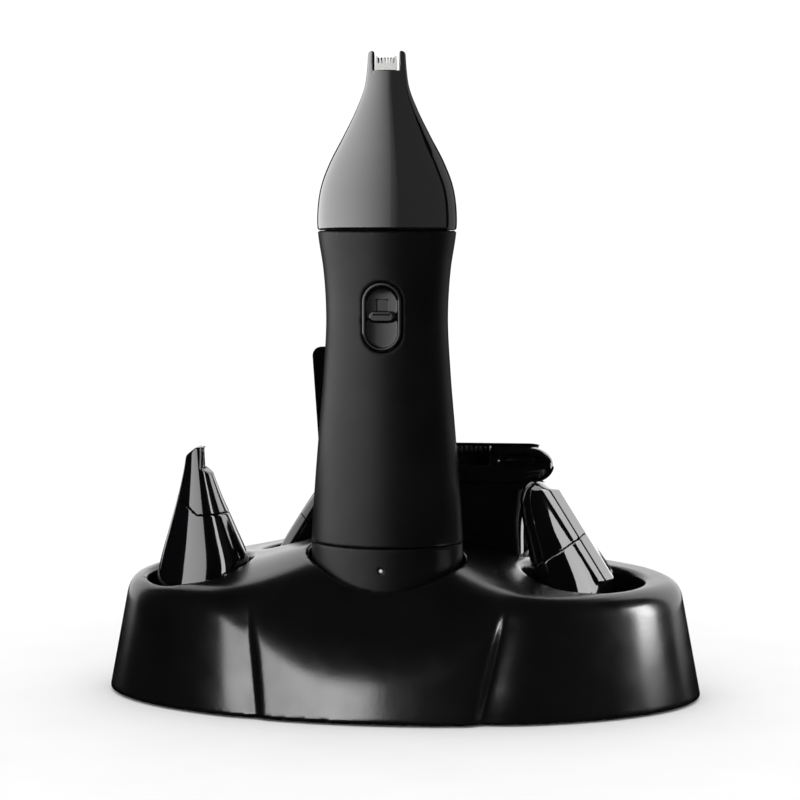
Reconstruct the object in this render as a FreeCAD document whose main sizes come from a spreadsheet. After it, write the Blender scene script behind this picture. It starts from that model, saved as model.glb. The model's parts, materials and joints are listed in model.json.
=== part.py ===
import FreeCAD, Part
import Sketcher
import os

# A cordless trimmer with a fine detail head, standing in a wide oval stand that also
# stores four more heads and a comb. Millimetres, +Z up, the front faces -Y. The origin
# is under the middle of the stand, on the surface that it stands on.

doc = FreeCAD.newDocument("GroomingTrimmer")

# ---------------------------------------------------------------- driving dimensions

sheet = doc.addObject("Spreadsheet::Sheet", "Sizes")
sheet_rows = []


def size(alias, value, meaning):
    """Put one driving dimension on the next row of the sheet."""
    row = len(sheet_rows) + 1
    sheet.set("A%d" % row, meaning)
    sheet.set("B%d" % row, str(value))
    sheet.setAlias("B%d" % row, alias)
    sheet_rows.append(alias)


# places of the tall pieces, as seen from above
size("grip_x", -2.75, "handle axis, sideways")
size("grip_y", -10, "handle axis, front to back")
size("nose_x", -50.8, "nose head axis, sideways")
size("nose_y", -2, "nose head axis, front to back")
size("shaver_x", 43.5, "leaning shaver head foot, sideways")
size("shaver_y", -3, "leaning shaver head foot, front to back")
size("clipper_x", 18.5, "wide clipper head axis, sideways")
size("clipper_y", 17, "wide clipper head axis, front to back")
size("wedge_x", -27, "wedge head foot, sideways")
size("wedge_y", 12.4, "wedge head foot, front to back")
size("comb_x", -17, "comb, sideways")
size("comb_y", 26.2, "comb, front to back")

# stand
size("stand_long", 150, "stand length at its foot")
size("stand_deep", 80, "stand depth at its foot")
size("stand_top_long", 134, "stand length at the draft's top")
size("stand_top_deep", 64, "stand depth at the draft's top")
size("stand_foot_level", 0.5, "lower edge of the stand shell")
size("draft_top", 44, "level where the draft ends")
size("shell_wall", 2.2, "stand shell wall")
size("rim_round", 4, "rounding of the stand's upper rim")
size("end_level_left", 27.5, "stand top at the left end")
size("pocket_level_left", 31, "stand top over the left pocket")
size("hump_level", 37, "stand top at the handle")
size("pocket_level_right", 32, "stand top over the right pocket")
size("end_level_right", 28.5, "stand top at the right end")
size("top_tilt", 6, "degrees that the stand top falls towards the front")
size("plate_low", 1.6, "underside of the base plate")
size("plate_thick", 2, "base plate thickness")
size("plate_gap", 0.15, "gap between base plate and shell")
size("foot_radius", 4.5, "rubber foot radius")
size("foot_inset_x", 46, "rubber feet, sideways from the middle")
size("foot_inset_y", 21, "rubber feet, front to back from the middle")
size("screw_inset_x", 34, "base screws, sideways from the middle")
size("screw_inset_y", 30, "base screws, front to back from the middle")
size("boss_radius", 3.2, "screw boss radius")
size("boss_top", 14, "top of the screw bosses")
size("screw_radius", 1.3, "base screw shank radius")
size("screw_head", 2.6, "base screw head radius")
size("screw_head_thick", 1, "base screw head thickness")
size("screw_long", 5.4, "base screw shank length")
size("screw_gap", 0.2, "clearance of a screw in the base plate")
size("plate_draft", 1, "how much the draft takes off the shell at the plate's level")
size("top_margin", 5, "how far the curve of the stand's top runs past its ends")
size("overrun", 1, "how far a cutting shape runs past what it cuts")

# charging parts in the stand
size("board_long", 30, "charging board, sideways")
size("board_deep", 16, "charging board, front to back")
size("board_thick", 1.3, "charging board thickness")
size("barrel_radius", 1.5, "spring pin barrel radius")
size("barrel_low", 4.9, "underside of the spring pin barrels")
size("barrel_floor", 0.6, "floor of a spring pin barrel")
size("pin_radius", 0.85, "spring pin plunger radius")
size("pin_gap", 0.1, "clearance round a plunger, and round a barrel in its well")
size("pin_low", 6.5, "underside of the plungers")
size("inlet_level", 10, "axis of the charging inlet")
size("inlet_radius", 2.1, "bore of the charging inlet")
size("inlet_wall", 1, "wall of the charging inlet's sleeve")
size("inlet_front", 28.6, "front end of the inlet's sleeve")
size("inlet_long", 9.4, "length of the inlet's sleeve")
size("inlet_pin_radius", 0.6, "centre pin of the charging inlet")
size("inlet_body_long", 9, "inlet body, sideways")
size("inlet_body_deep", 7, "inlet body, front to back")
size("inlet_body_tall", 7.4, "inlet body height")

# wells in the stand
size("well_wall", 1.4, "wall of each well")
size("well_floor", 2, "floor of each well")
size("grip_well_floor", 9, "level of the handle well's floor")
size("store_floor", 12, "level of the other wells' floors")
size("grip_well_long", 38.8, "handle well, sideways")
size("grip_well_deep", 29.4, "handle well, front to back")
size("left_well_long", 26.6, "left well, sideways")
size("right_well_long", 30.4, "right well, sideways")
size("front_well_deep", 32, "front wells, front to back")
size("left_well_x", -51.3, "left well centre, sideways")
size("right_well_x", 45.6, "right well centre, sideways")
size("front_well_y", -2, "front wells, front to back")
size("clipper_well_long", 27.4, "rear right well, sideways")
size("clipper_well_deep", 19.4, "rear right well, front to back")
size("wedge_well_x", -25.6, "rear left well centre, sideways")
size("wedge_well_long", 23.4, "rear left well, sideways")
size("wedge_well_deep", 17.2, "rear left well, front to back")
size("comb_well_long", 15, "comb slot, sideways")
size("comb_well_deep", 3.2, "comb slot, front to back")

# handle
size("sleeve_wall", 1.6, "handle wall")
size("cap_floor", 2, "floor of the bottom cap")
size("contact_radius", 2, "charging contact radius")
size("contact_offset", 7, "charging contacts, sideways from the handle axis")
size("contact_level", 9.6, "underside of the charging contacts")
size("contact_thick", 1.4, "charging contact thickness")
size("lens_level", 34.6, "charge indicator level")
size("lens_radius", 0.6, "charge indicator radius")
size("lens_sunk", 0.3, "middle of the indicator's dome behind the cap's face")
size("lens_stem_long", 2.4, "light guide behind the indicator")
size("lens_hole_long", 6, "hole for the light guide")
size("cell_radius", 7.1, "rechargeable cell radius")
size("cell_long", 50, "rechargeable cell length")
size("cell_level", 16, "underside of the cell")
size("motor_round", 10.2, "motor can radius")
size("motor_flat", 15.4, "motor can across its flats")
size("motor_long", 25, "motor can length")
size("motor_level", 79.5, "underside of the motor can")
size("motor_boss_radius", 5, "boss under the motor can, radius")
size("motor_boss_tall", 1.4, "boss under the motor can, height")
size("motor_bore_low", 4, "floor of the motor's bore over the can's underside")
size("shaft_low", 5, "lower end of the shaft over the can's underside")
size("charge_board_wide", 13, "charge board in the handle, sideways")
size("charge_board_tall", 20, "charge board in the handle, height")
size("charge_board_level", 17, "lower edge of the charge board")
size("charge_board_inset", 9, "charge board in front of the handle axis")
size("charge_board_thick", 1, "charge board thickness")
size("lamp_wide", 1.2, "indicator lamp, sideways")
size("lamp_deep", 0.8, "indicator lamp, front to back")
size("lamp_tall", 1.6, "indicator lamp height")
size("tab_wide", 6, "battery tabs, sideways")
size("tab_deep", 9, "battery tabs, front to back")
size("tab_thick", 0.2, "battery tab thickness")
size("shelf_low", 104.6, "underside of the shelf over the motor")
size("divider_low", 68.4, "underside of the wall between cell and motor")
size("shelf_thick", 2, "thickness of the shelf and of the wall between cell and motor")
size("spine_wide", 8, "spine behind cell and motor, sideways")
size("spine_thick", 1.3, "spine thickness")
size("spine_low", 45, "lower end of the spine")
size("spine_offset", 8.45, "spine behind the handle axis")
size("shelf_hole_radius", 3.2, "hole for the motor shaft")
size("wire_hole_radius", 2, "hole for the battery wires")
size("lid_thick", 2.4, "thickness of the lid under the spigot")
size("seat_gap", 0.05, "clearance of a piece seated in a lofted shell")
size("shaft_radius", 1, "motor shaft radius")
size("cam_radius", 4, "cam disc radius")
size("cam_level", 110, "underside of the cam disc")
size("cam_thick", 3, "cam disc thickness")
size("cam_pin_radius", 0.8, "eccentric pin radius")
size("cam_throw", 0.6, "eccentric pin offset")
size("cam_pin_top", 121, "top of the eccentric pin")
size("joint_level", 116.5, "joint between handle and head")
size("spigot_radius", 8, "spigot that a head pushes onto")
size("spigot_top", 124, "top of the spigot")
size("spigot_root", 1, "how far the spigot runs into the lid")
size("spigot_bore", 4.7, "bore of the spigot")
size("fit_gap", 0.15, "clearance of a head on the spigot")

# switch on the handle front
size("switch_level", 95.8, "middle of the switch")
size("bezel_long", 16.6, "switch bezel height")
size("bezel_wide", 9.4, "switch bezel width")
size("bezel_wall", 1.15, "switch bezel rim width")
size("bezel_front", -21.9, "front of the bezel")
size("bezel_thick", 2.3, "bezel depth")
size("well_back", 0.8, "thickness of the bezel's recessed floor")
size("thumb_wide", 6.2, "thumb bar width")
size("thumb_tall", 2.6, "thumb bar height")
size("thumb_deep", 1.6, "how far the thumb bar stands out of the well")
size("neck_wide", 2.4, "slider neck width")
size("neck_tall", 2, "slider neck height")
size("switch_travel", 2.8, "travel of the switch slider")
size("keeper_wide", 5.4, "plate behind the switch well, sideways")
size("keeper_thick", 0.7, "plate behind the switch well, thickness")
size("keeper_tall", 9, "plate behind the switch well, height")
size("keeper_lift", 0.2, "plate behind the switch well, above the slider's middle")
size("neck_gap", 0.3, "clearance of the slider's neck in its slot")
size("neck_root", 0.4, "how far the neck runs into the thumb bar")
size("slider_gap", 0.1, "clearance of the slider from the bezel's floor")
size("groove_margin", 0.6, "end of the thumb bar beside its groove")
size("groove_deep", 0.4, "depth of the groove in the thumb bar")
size("groove_tall", 0.9, "width of the groove in the thumb bar")
size("leaf_wide", 4, "contact leaf, sideways")
size("leaf_thick", 0.3, "contact leaf thickness")
size("leaf_tall", 9, "contact leaf height")
size("leaf_offset", 1.5, "contact leaf behind the bezel")

# detail head
size("head_wall", 1.3, "head shell wall")
size("head_roof", 155.2, "floor of the notch between the prongs")
size("prong_top", 159.9, "top of the guard prongs")
size("prong_inner", 3.2, "inner face of a prong from the axis")
size("prong_outer", 4.6, "outer face of a prong from the axis")
size("prong_deep", 3.8, "prong depth")
size("prong_shift", 0.4, "prongs in front of the head's axis")
size("hollow_top", 151, "top of the head's hollow")
size("blade_wide", 5.5, "fixed blade width")
size("blade_thick", 0.5, "fixed blade thickness")
size("blade_low", 147, "lower edge of the blades")
size("blade_top", 158.5, "tips of the fixed blade's teeth")
size("blade_front", -12, "front of the fixed blade")
size("blade_gap", 0.1, "clearance of the blades in their slot")
size("blade_lap", 0.05, "gap between a fixed and a moving blade")
size("blade_slot_deep", 2.1, "slot for the blades, front to back")
size("blade_slot_tall", 12, "slot for the blades, height")
size("blade_slot_drop", 0.4, "slot for the blades, below them")
size("fixed_gaps", 6, "gaps in the fixed blade")
size("moving_gaps", 5, "gaps in the moving blade")
size("moving_margin", 1.1, "how much narrower the moving blade is")
size("moving_drop", 0.3, "how much shorter the moving blade is")
size("moving_thick", 0.4, "moving blade thickness")
size("tooth_pitch", 0.78, "pitch of the teeth")
size("tooth_slot", 0.34, "gap between two teeth")
size("tooth_deep", 1.6, "depth of the gaps between teeth")
size("pivot_level", 136.5, "drive lever pivot")
size("pivot_radius", 0.75, "drive lever pivot pin radius")
size("lever_thick", 1.8, "drive lever thickness")
size("nub_arm", 12.7, "height of the lever's nub over its pivot")
size("nub_wide", 1, "nub width")
size("nub_deep", 0.6, "nub, front to back")
size("nub_tall", 1.2, "nub height")
size("nub_front", 1.1, "nub in front of the head's axis")
size("eye_gap", 0.06, "clearance of the nub in the moving blade's eye")
size("eye_deep", 3, "cutting depth of the eye")
size("eye_tall", 1.6, "eye height")
size("eye_front", 1.2, "eye in front of the head's axis")
size("spring_wide", 2.2, "blade spring width")
size("spring_thick", 0.2, "blade spring thickness")
size("spring_tall", 4.4, "blade spring height")
size("spring_back", 1.12, "blade spring behind the fixed blade's front")
size("spring_low", 4.2, "blade spring over the blades' lower edge")
size("spring_foot_deep", 0.9, "foot of the blade spring, front to back")
size("spring_foot_tall", 0.4, "foot of the blade spring, height")
size("spring_foot_back", 1.55, "foot of the blade spring behind the fixed blade's front")
size("pivot_long", 5.6, "drive lever pivot pin length")
size("lever_boss_radius", 2.2, "drive lever boss radius")
size("stem_wide", 3, "drive lever stem width")
size("stem_root", 0.5, "drive lever stem, lower end over the eccentric pin's top")
size("stem_over", 3.2, "drive lever stem, upper end over the blades' lower edge")
size("fork_gap", 0.1, "clearance of the eccentric pin at the end of its swing")
size("fork_wall", 1, "wall of the lever's fork")
size("fork_low", 0.5, "lower end of the fork below the joint")
size("fork_over", 1.8, "roof of the fork")
size("insert_roof", 2.2, "roof of the insert over the spigot")
size("insert_gap", 0.1, "gap between the insert and the collar")
size("socket_room", 0.2, "room over the spigot and over the eccentric pin")
size("window_wide", 9, "window for the lever in the insert, sideways")
size("window_deep", 3, "window for the lever in the insert, front to back")
size("window_tall", 14, "window for the lever in the insert, height")
size("arm_wide", 5, "pivot arms, sideways")
size("arm_thick", 1.2, "pivot arm thickness")
size("arm_over", 2, "height of the pivot arms over the pivot")
size("arm_offset", 2.2, "pivot arms, front to back from the axis")
size("arm_root", 0.5, "lower end of the pivot arms over the spigot")

# comb and clipper teeth
size("plug_roof", 19.8, "roof of the stored heads' bores")
size("plug_thick", 2, "thickness over the stored heads' bores")
size("nose_bore", 1.4, "bore for the nose cutter")
size("nose_bore_long", 10.4, "bore for the nose cutter in the tip")
size("cutter_shift", 0.6, "nose cutter axis, left of the cone's axis")
size("slit_count", 3, "slits across the nose tip")
size("slit_wide", 0.6, "slit in the nose tip, width")
size("slit_long", 12, "slit in the nose tip, length")
size("slit_tall", 5.2, "slit in the nose tip, height")
size("slit_low", 56, "lower end of the nose tip's slits")
size("spindle_radius", 0.9, "nose cutter spindle radius")
size("spindle_long", 40, "nose cutter spindle length")
size("spindle_low", 21, "lower end of the nose cutter's spindle")
size("wing_wide", 2.3, "nose cutter blade, width")
size("wing_thick", 0.5, "nose cutter blade, thickness")
size("wing_tall", 5.6, "nose cutter blade, height")
size("wing_low", 55.6, "lower edge of the nose cutter's blades")
size("shaver_roof", 46, "top of the leaning head's hollow")
size("shaver_pit_wide", 4.4, "pit for the leaning head's cutter, sideways")
size("shaver_pit_deep", 6.6, "pit for the leaning head's cutter, front to back")
size("shaver_pit_tall", 6, "pit for the leaning head's cutter, height")
size("shaver_pit_low", 46.6, "floor of the pit for the leaning head's cutter")
size("shaver_bar_shift", 9.4, "cutter of the leaning head, left of its foot")
size("shaver_bar_wide", 3.4, "cutter of the leaning head, sideways")
size("shaver_bar_deep", 4.6, "cutter of the leaning head, front to back")
size("shaver_bar_tall", 3.6, "cutter of the leaning head, height")
size("shaver_bar_low", 47.2, "underside of the leaning head's cutter")
size("wedge_roof", 52.6, "top of the wedge head's hollow")
size("comb_wide", 19, "comb width at its top")
size("comb_foot_wide", 11, "comb width at its foot")
size("comb_tall", 73.6, "comb height")
size("comb_thick", 1.8, "comb thickness")
size("comb_pitch", 2, "pitch of the comb's teeth")
size("comb_slot", 1, "gap between the comb's teeth")
size("comb_reach", 10, "length of the comb's teeth")
size("comb_teeth", 22, "number of gaps in the comb")
size("comb_margin", 4, "solid end of the comb over its teeth")
size("clipper_blade_wide", 19.6, "clipper blade width")
size("clipper_blade_x", 10.9, "middle of the clipper blades, sideways")
size("clipper_pitch", 1.2, "pitch of the clipper's teeth")
size("clipper_slot", 0.5, "gap between the clipper's teeth")
size("clipper_roof", 59.2, "top of the clipper head's hollow")
size("clipper_seat_gap", 0.8, "seat of the clipper blades, beyond each end")
size("clipper_seat_deep", 3, "seat of the clipper blades, front to back")
size("clipper_seat_tall", 12, "seat of the clipper blades, height")
size("clipper_seat_front", 5.4, "seat of the clipper blades in front of the head's axis")
size("clipper_seat_low", 54.4, "lower end of the clipper blades' seat")
size("clipper_blade_tall", 6.4, "clipper blade height")
size("clipper_blade_thick", 0.7, "clipper blade thickness")
size("clipper_blade_back", 3.9, "back of the clipper blade in front of the head's axis")
size("clipper_blade_low", 54.6, "lower edge of the clipper blade")
size("clipper_tooth_deep", 1.8, "depth of the clipper blade's gaps")
size("clipper_gaps", 15, "gaps in the clipper blade")
size("clipper_cutter_margin", 3, "how much narrower the clipper cutter is")
size("clipper_cutter_tall", 5.4, "clipper cutter height")
size("clipper_cutter_thick", 0.6, "clipper cutter thickness")
size("clipper_cutter_tooth", 1.6, "depth of the clipper cutter's gaps")
size("clipper_cutter_gaps", 13, "gaps in the clipper cutter")
size("clipper_cutter_low", 55, "lower edge of the clipper cutter")

# Outlines of the lofted pieces: (level, sideways shift, width, depth) of each ring.
profiles = {
    "sleeve": ((40, 0, 37.5, 28.5), (46, 0, 36.9, 28.0), (55, 0, 35.7, 27.1), (68, 0, 33.6, 25.6),
               (82, 0, 31.3, 23.8), (96, 0, 30.0, 22.8), (107, 0, 31.3, 23.8), (116.5, 0, 34.0, 26.0)),
    "cap": ((9, 0, 33.6, 24.8), (10, 0, 35.6, 26.6), (12, 0, 36.9, 27.9), (18, 0, 37.4, 28.4),
            (40, 0, 37.5, 28.5)),
    "head": ((116.5, 0, 34.0, 26.0), (122, 0, 34.0, 26.0), (127.5, 0, 32.2, 24.2), (133, 0, 28.0, 20.4),
             (139.5, 0, 21.2, 14.8), (146, 0, 14.8, 10.0), (151, 0, 11.0, 7.4), (155.2, 0, 9.7, 6.2)),
    "cone": ((12, 0, 24.6, 28.8), (20, 0, 24.6, 28.6), (30, 0, 22.8, 25.6), (42, -0.2, 15.6, 16.6),
             (51, -0.4, 10.2, 10.2)),
    "cone_tip": ((51, -0.4, 10.2, 10.2), (57, -0.6, 6.8, 6.8), (62.6, -0.8, 4.6, 4.6)),
    "shaver": ((12, 0, 20.0, 25.0), (22, 0, 20.0, 24.6), (31, -0.8, 19.8, 21.8), (38, -3.4, 17.4, 18.2)),
    "shaver_top": ((38, -3.4, 17.4, 18.2), (45, -6.6, 13.8, 14.6), (51, -9.2, 9.6, 11.6),
                   (54.8, -9.8, 5.0, 8.6)),
    "clipper": ((12, 0, 23.6, 16.8), (32, 0, 25.4, 16.0), (44, 0, 25.8, 14.0), (52, 0, 30.0, 12.8)),
    "clipper_top": ((52, 0, 30.0, 12.8), (56, 0, 37.6, 12.6), (61, 0, 32.0, 8.2)),
    "wedge": ((12, 0, 18.0, 15.4), (24, 0.4, 18.0, 15.2), (34, 2.4, 16.8, 13.6), (42, 5.4, 14.4, 11.6)),
    "wedge_top": ((42, 5.4, 14.4, 11.6), (49, 8.6, 11.6, 9.6), (54, 10.6, 7.6, 7.4)),
}
ring_letters = "abcdefgh"
for stem, rings in profiles.items():
    for letter, ring in zip(ring_letters, rings):
        for part_name, number in zip(("level", "shift", "wide", "deep"), ring):
            size("%s_%s_%s" % (stem, part_name, letter), number, "%s outline, ring %s" % (stem, letter))

doc.recompute()


def value(alias):
    """A driving dimension as a plain number."""
    return float(sheet.get(alias))


# ---------------------------------------------------------------- small helpers

sub_parts = []


def node(obj, label):
    """Name an object as one of the sub-parts that are written out."""
    obj.Label = label
    sub_parts.append(obj)
    return obj


def bind(obj, **expressions):
    """Bind properties to sheet expressions; a double underscore stands for a dot."""
    for name, expression in expressions.items():
        obj.setExpression(name.replace("__", "."), expression)
    return obj


def place(obj, at_x, at_y, at_z):
    """Bind the three coordinates of an object's Placement."""
    obj.setExpression("Placement.Base.x", at_x)
    obj.setExpression("Placement.Base.y", at_y)
    obj.setExpression("Placement.Base.z", at_z)
    return obj


def turn(obj, axis, degrees):
    """Turn an object about one of the frame's axes."""
    obj.Placement.Rotation = FreeCAD.Rotation(FreeCAD.Vector(*axis), degrees)
    return obj


def box(name, wide, deep, tall, at_x, at_y, at_z):
    """A block centred on at_x and at_y, standing on at_z."""
    block = doc.addObject("Part::Box", name)
    bind(block, Length=wide, Width=deep, Height=tall)
    return place(block, "(%s) - (%s) / 2" % (at_x, wide), "(%s) - (%s) / 2" % (at_y, deep), at_z)


def rod(name, radius, tall, at_x, at_y, at_z):
    """An upright cylinder standing on at_z."""
    cylinder = doc.addObject("Part::Cylinder", name)
    bind(cylinder, Radius=radius, Height=tall)
    return place(cylinder, at_x, at_y, at_z)


def rod_along_y(name, radius, long, at_x, at_y, at_z):
    """A cylinder that starts at at_y and runs backwards."""
    return turn(rod(name, radius, long, at_x, at_y, at_z), (1, 0, 0), -90)


def oval(name, wide, deep, at_x, at_y, at_z, lengthwise=True):
    """A flat ellipse; lengthwise says that its long way runs sideways."""
    ring = doc.addObject("Part::Ellipse", name)
    long_way, short_way = (wide, deep) if lengthwise else (deep, wide)
    bind(ring, MajorRadius="(%s) / 2" % long_way, MinorRadius="(%s) / 2" % short_way)
    place(ring, at_x, at_y, at_z)
    if not lengthwise:
        turn(ring, (0, 0, 1), 90)
    return ring


def loft(name, rings, straight=False):
    """A solid through a row of rings, smooth or with straight sides between them."""
    solid = doc.addObject("Part::Loft", name)
    solid.Sections = rings
    solid.Solid = True
    solid.Ruled = straight
    return solid


def profile_loft(stem, at_x, at_y, inset="0", lift="0"):
    """The solid of one outline, drawn in by inset, with its lowest ring raised by lift."""
    rings = []
    for position, (letter, ring) in enumerate(zip(ring_letters, profiles[stem])):
        level = "Sizes.%s_level_%s" % (stem, letter)
        if position == 0:
            level = "%s + %s" % (level, lift)
        wide = "Sizes.%s_wide_%s - 2 * %s" % (stem, letter, inset)
        deep = "Sizes.%s_deep_%s - 2 * %s" % (stem, letter, inset)
        centre = "%s + Sizes.%s_shift_%s" % (at_x, stem, letter)
        rings.append(oval("%s_ring" % stem, wide, deep, centre, at_y, level, ring[2] >= ring[3]))
    return loft("%s_solid" % stem, rings, stem == "cap")


def oval_prism(name, wide, deep, tall, at_x, at_y, at_z, lengthwise=True):
    """An upright elliptic prism."""
    prism = doc.addObject("Part::Extrusion", name)
    prism.Base = oval(name + "_outline", wide, deep, at_x, at_y, at_z, lengthwise)
    prism.DirMode = "Custom"
    prism.Dir = FreeCAD.Vector(0, 0, 1)
    prism.Solid = True
    return bind(prism, LengthFwd=tall)


def cut(name, base, *tools):
    """What is left of base after the tools are taken away."""
    result = doc.addObject("Part::Cut", name)
    result.Base = base
    result.Tool = tools[0] if len(tools) == 1 else join(name + "_tools", *tools)
    return result


def join(name, *shapes):
    """Several solids as one."""
    result = doc.addObject("Part::MultiFuse", name)
    result.Shapes = list(shapes)
    return result


def shared(name, first, second):
    """What two solids have in common."""
    result = doc.addObject("Part::MultiCommon", name)
    result.Shapes = [first, second]
    return result


def group(name, *shapes):
    """Separate solids kept side by side in one object."""
    result = doc.addObject("Part::Compound", name)
    result.Links = list(shapes)
    return result


def slab(name, low, high):
    """A wide block between two levels, used to cut slices from the lofted insides."""
    return box(name, "Sizes.stand_long", "Sizes.stand_deep * 2", "(%s) - (%s)" % (high, low), "0", "0", low)


def body(name):
    """A PartDesign body."""
    return doc.addObject("PartDesign::Body", name)


def sketch(owner, role):
    """A sketch on one of its own body's origin planes."""
    plane = [feature for feature in owner.Origin.OriginFeatures if feature.Role == role][0]
    drawing = owner.newObject("Sketcher::SketchObject", owner.Name + "_sketch")
    drawing.AttachmentSupport = (plane, "")
    drawing.MapMode = "FlatFace"
    return drawing


def draw_polygon(drawing, corners):
    """A closed outline whose corners, given as (across, up), follow the sheet."""
    first = drawing.GeometryCount
    count = len(corners)
    start = FreeCAD.Vector(1, 0, 0)
    for side in range(count):
        end = FreeCAD.Rotation(FreeCAD.Vector(0, 0, 1), 360.0 / count).multVec(start)
        drawing.addGeometry(Part.LineSegment(start, end))
        start = end
    for side in range(count):
        drawing.addConstraint(Sketcher.Constraint("Coincident", first + side, 2, first + (side + 1) % count, 1))
    for side, corner in enumerate(corners):
        for kind, expression in zip(("DistanceX", "DistanceY"), corner):
            row = drawing.addConstraint(Sketcher.Constraint(kind, -1, 1, first + side, 1, 0.5))
            drawing.setExpression("Constraints[%d]" % row, expression)


def draw_rectangle(drawing, left, right, low, high):
    """A rectangle whose four sides follow the sheet."""
    draw_polygon(drawing, ((left, low), (right, low), (right, high), (left, high)))


def pad(owner, drawing, length):
    """Raise a sketch into a solid."""
    feature = owner.newObject("PartDesign::Pad", owner.Name + "_pad")
    feature.Profile = drawing
    feature.setExpression("Length", length)
    return feature


def pocket(owner, drawing):
    """Cut a sketch right through, both ways."""
    feature = owner.newObject("PartDesign::Pocket", owner.Name + "_pocket")
    feature.Profile = drawing
    feature.Type = "ThroughAll"
    feature.Midplane = True
    return feature


# ---------------------------------------------------------------- stand

def stand_top_block(name, drop):
    """Everything below the stand's humped top, lowered by drop."""
    half = value("stand_long") / 2 + value("top_margin")
    crest = ((-half, "end_level_left"), (value("left_well_x"), "pocket_level_left"),
             (value("grip_x"), "hump_level"), (value("right_well_x"), "pocket_level_right"),
             (half, "end_level_right"))
    points = [FreeCAD.Vector(x, -half, value(level) - drop) for x, level in crest]
    curve = Part.BSplineCurve()
    curve.interpolate(points)
    right_foot = FreeCAD.Vector(half, -half, -half)
    left_foot = FreeCAD.Vector(-half, -half, -half)
    sides = [Part.LineSegment(points[-1], right_foot), Part.LineSegment(right_foot, left_foot),
             Part.LineSegment(left_foot, points[0])]
    outline = Part.Wire([curve.toShape()] + [side.toShape() for side in sides])
    block = doc.addObject("Part::Feature", name)
    block.Shape = Part.Face(outline).extrude(FreeCAD.Vector(0, 2 * half, 0))
    block.Placement.Rotation = FreeCAD.Rotation(FreeCAD.Vector(1, 0, 0), value("top_tilt"))
    return block


def stand_draft(name, inset):
    """The drafted oval of the stand, drawn in by inset."""
    foot = oval(name + "_foot", "Sizes.stand_long - 2 * %s" % inset, "Sizes.stand_deep - 2 * %s" % inset,
                "0", "0", "Sizes.stand_foot_level")
    top = oval(name + "_top", "Sizes.stand_top_long - 2 * %s" % inset,
               "Sizes.stand_top_deep - 2 * %s" % inset, "0", "0", "Sizes.draft_top")
    return loft(name, [foot, top])


# name: (sideways, front to back, long, deep, floor level, long way runs sideways)
wells = {
    "handle_well": ("Sizes.grip_x", "Sizes.grip_y", "Sizes.grip_well_long", "Sizes.grip_well_deep",
                    "Sizes.grip_well_floor", True),
    "left_well": ("Sizes.left_well_x", "Sizes.front_well_y", "Sizes.left_well_long",
                  "Sizes.front_well_deep", "Sizes.store_floor", False),
    "right_well": ("Sizes.right_well_x", "Sizes.front_well_y", "Sizes.right_well_long",
                   "Sizes.front_well_deep", "Sizes.store_floor", False),
    "rear_right_well": ("Sizes.clipper_x", "Sizes.clipper_y", "Sizes.clipper_well_long",
                        "Sizes.clipper_well_deep", "Sizes.store_floor", True),
    "rear_left_well": ("Sizes.wedge_well_x", "Sizes.wedge_y", "Sizes.wedge_well_long",
                       "Sizes.wedge_well_deep", "Sizes.store_floor", True),
}


def comb_hollow(name, margin, floor):
    """The comb slot, widened by margin on every side."""
    return box(name, "Sizes.comb_well_long + 2 * %s" % margin, "Sizes.comb_well_deep + 2 * %s" % margin,
               "Sizes.draft_top", "Sizes.comb_x", "Sizes.comb_y", floor)


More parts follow.
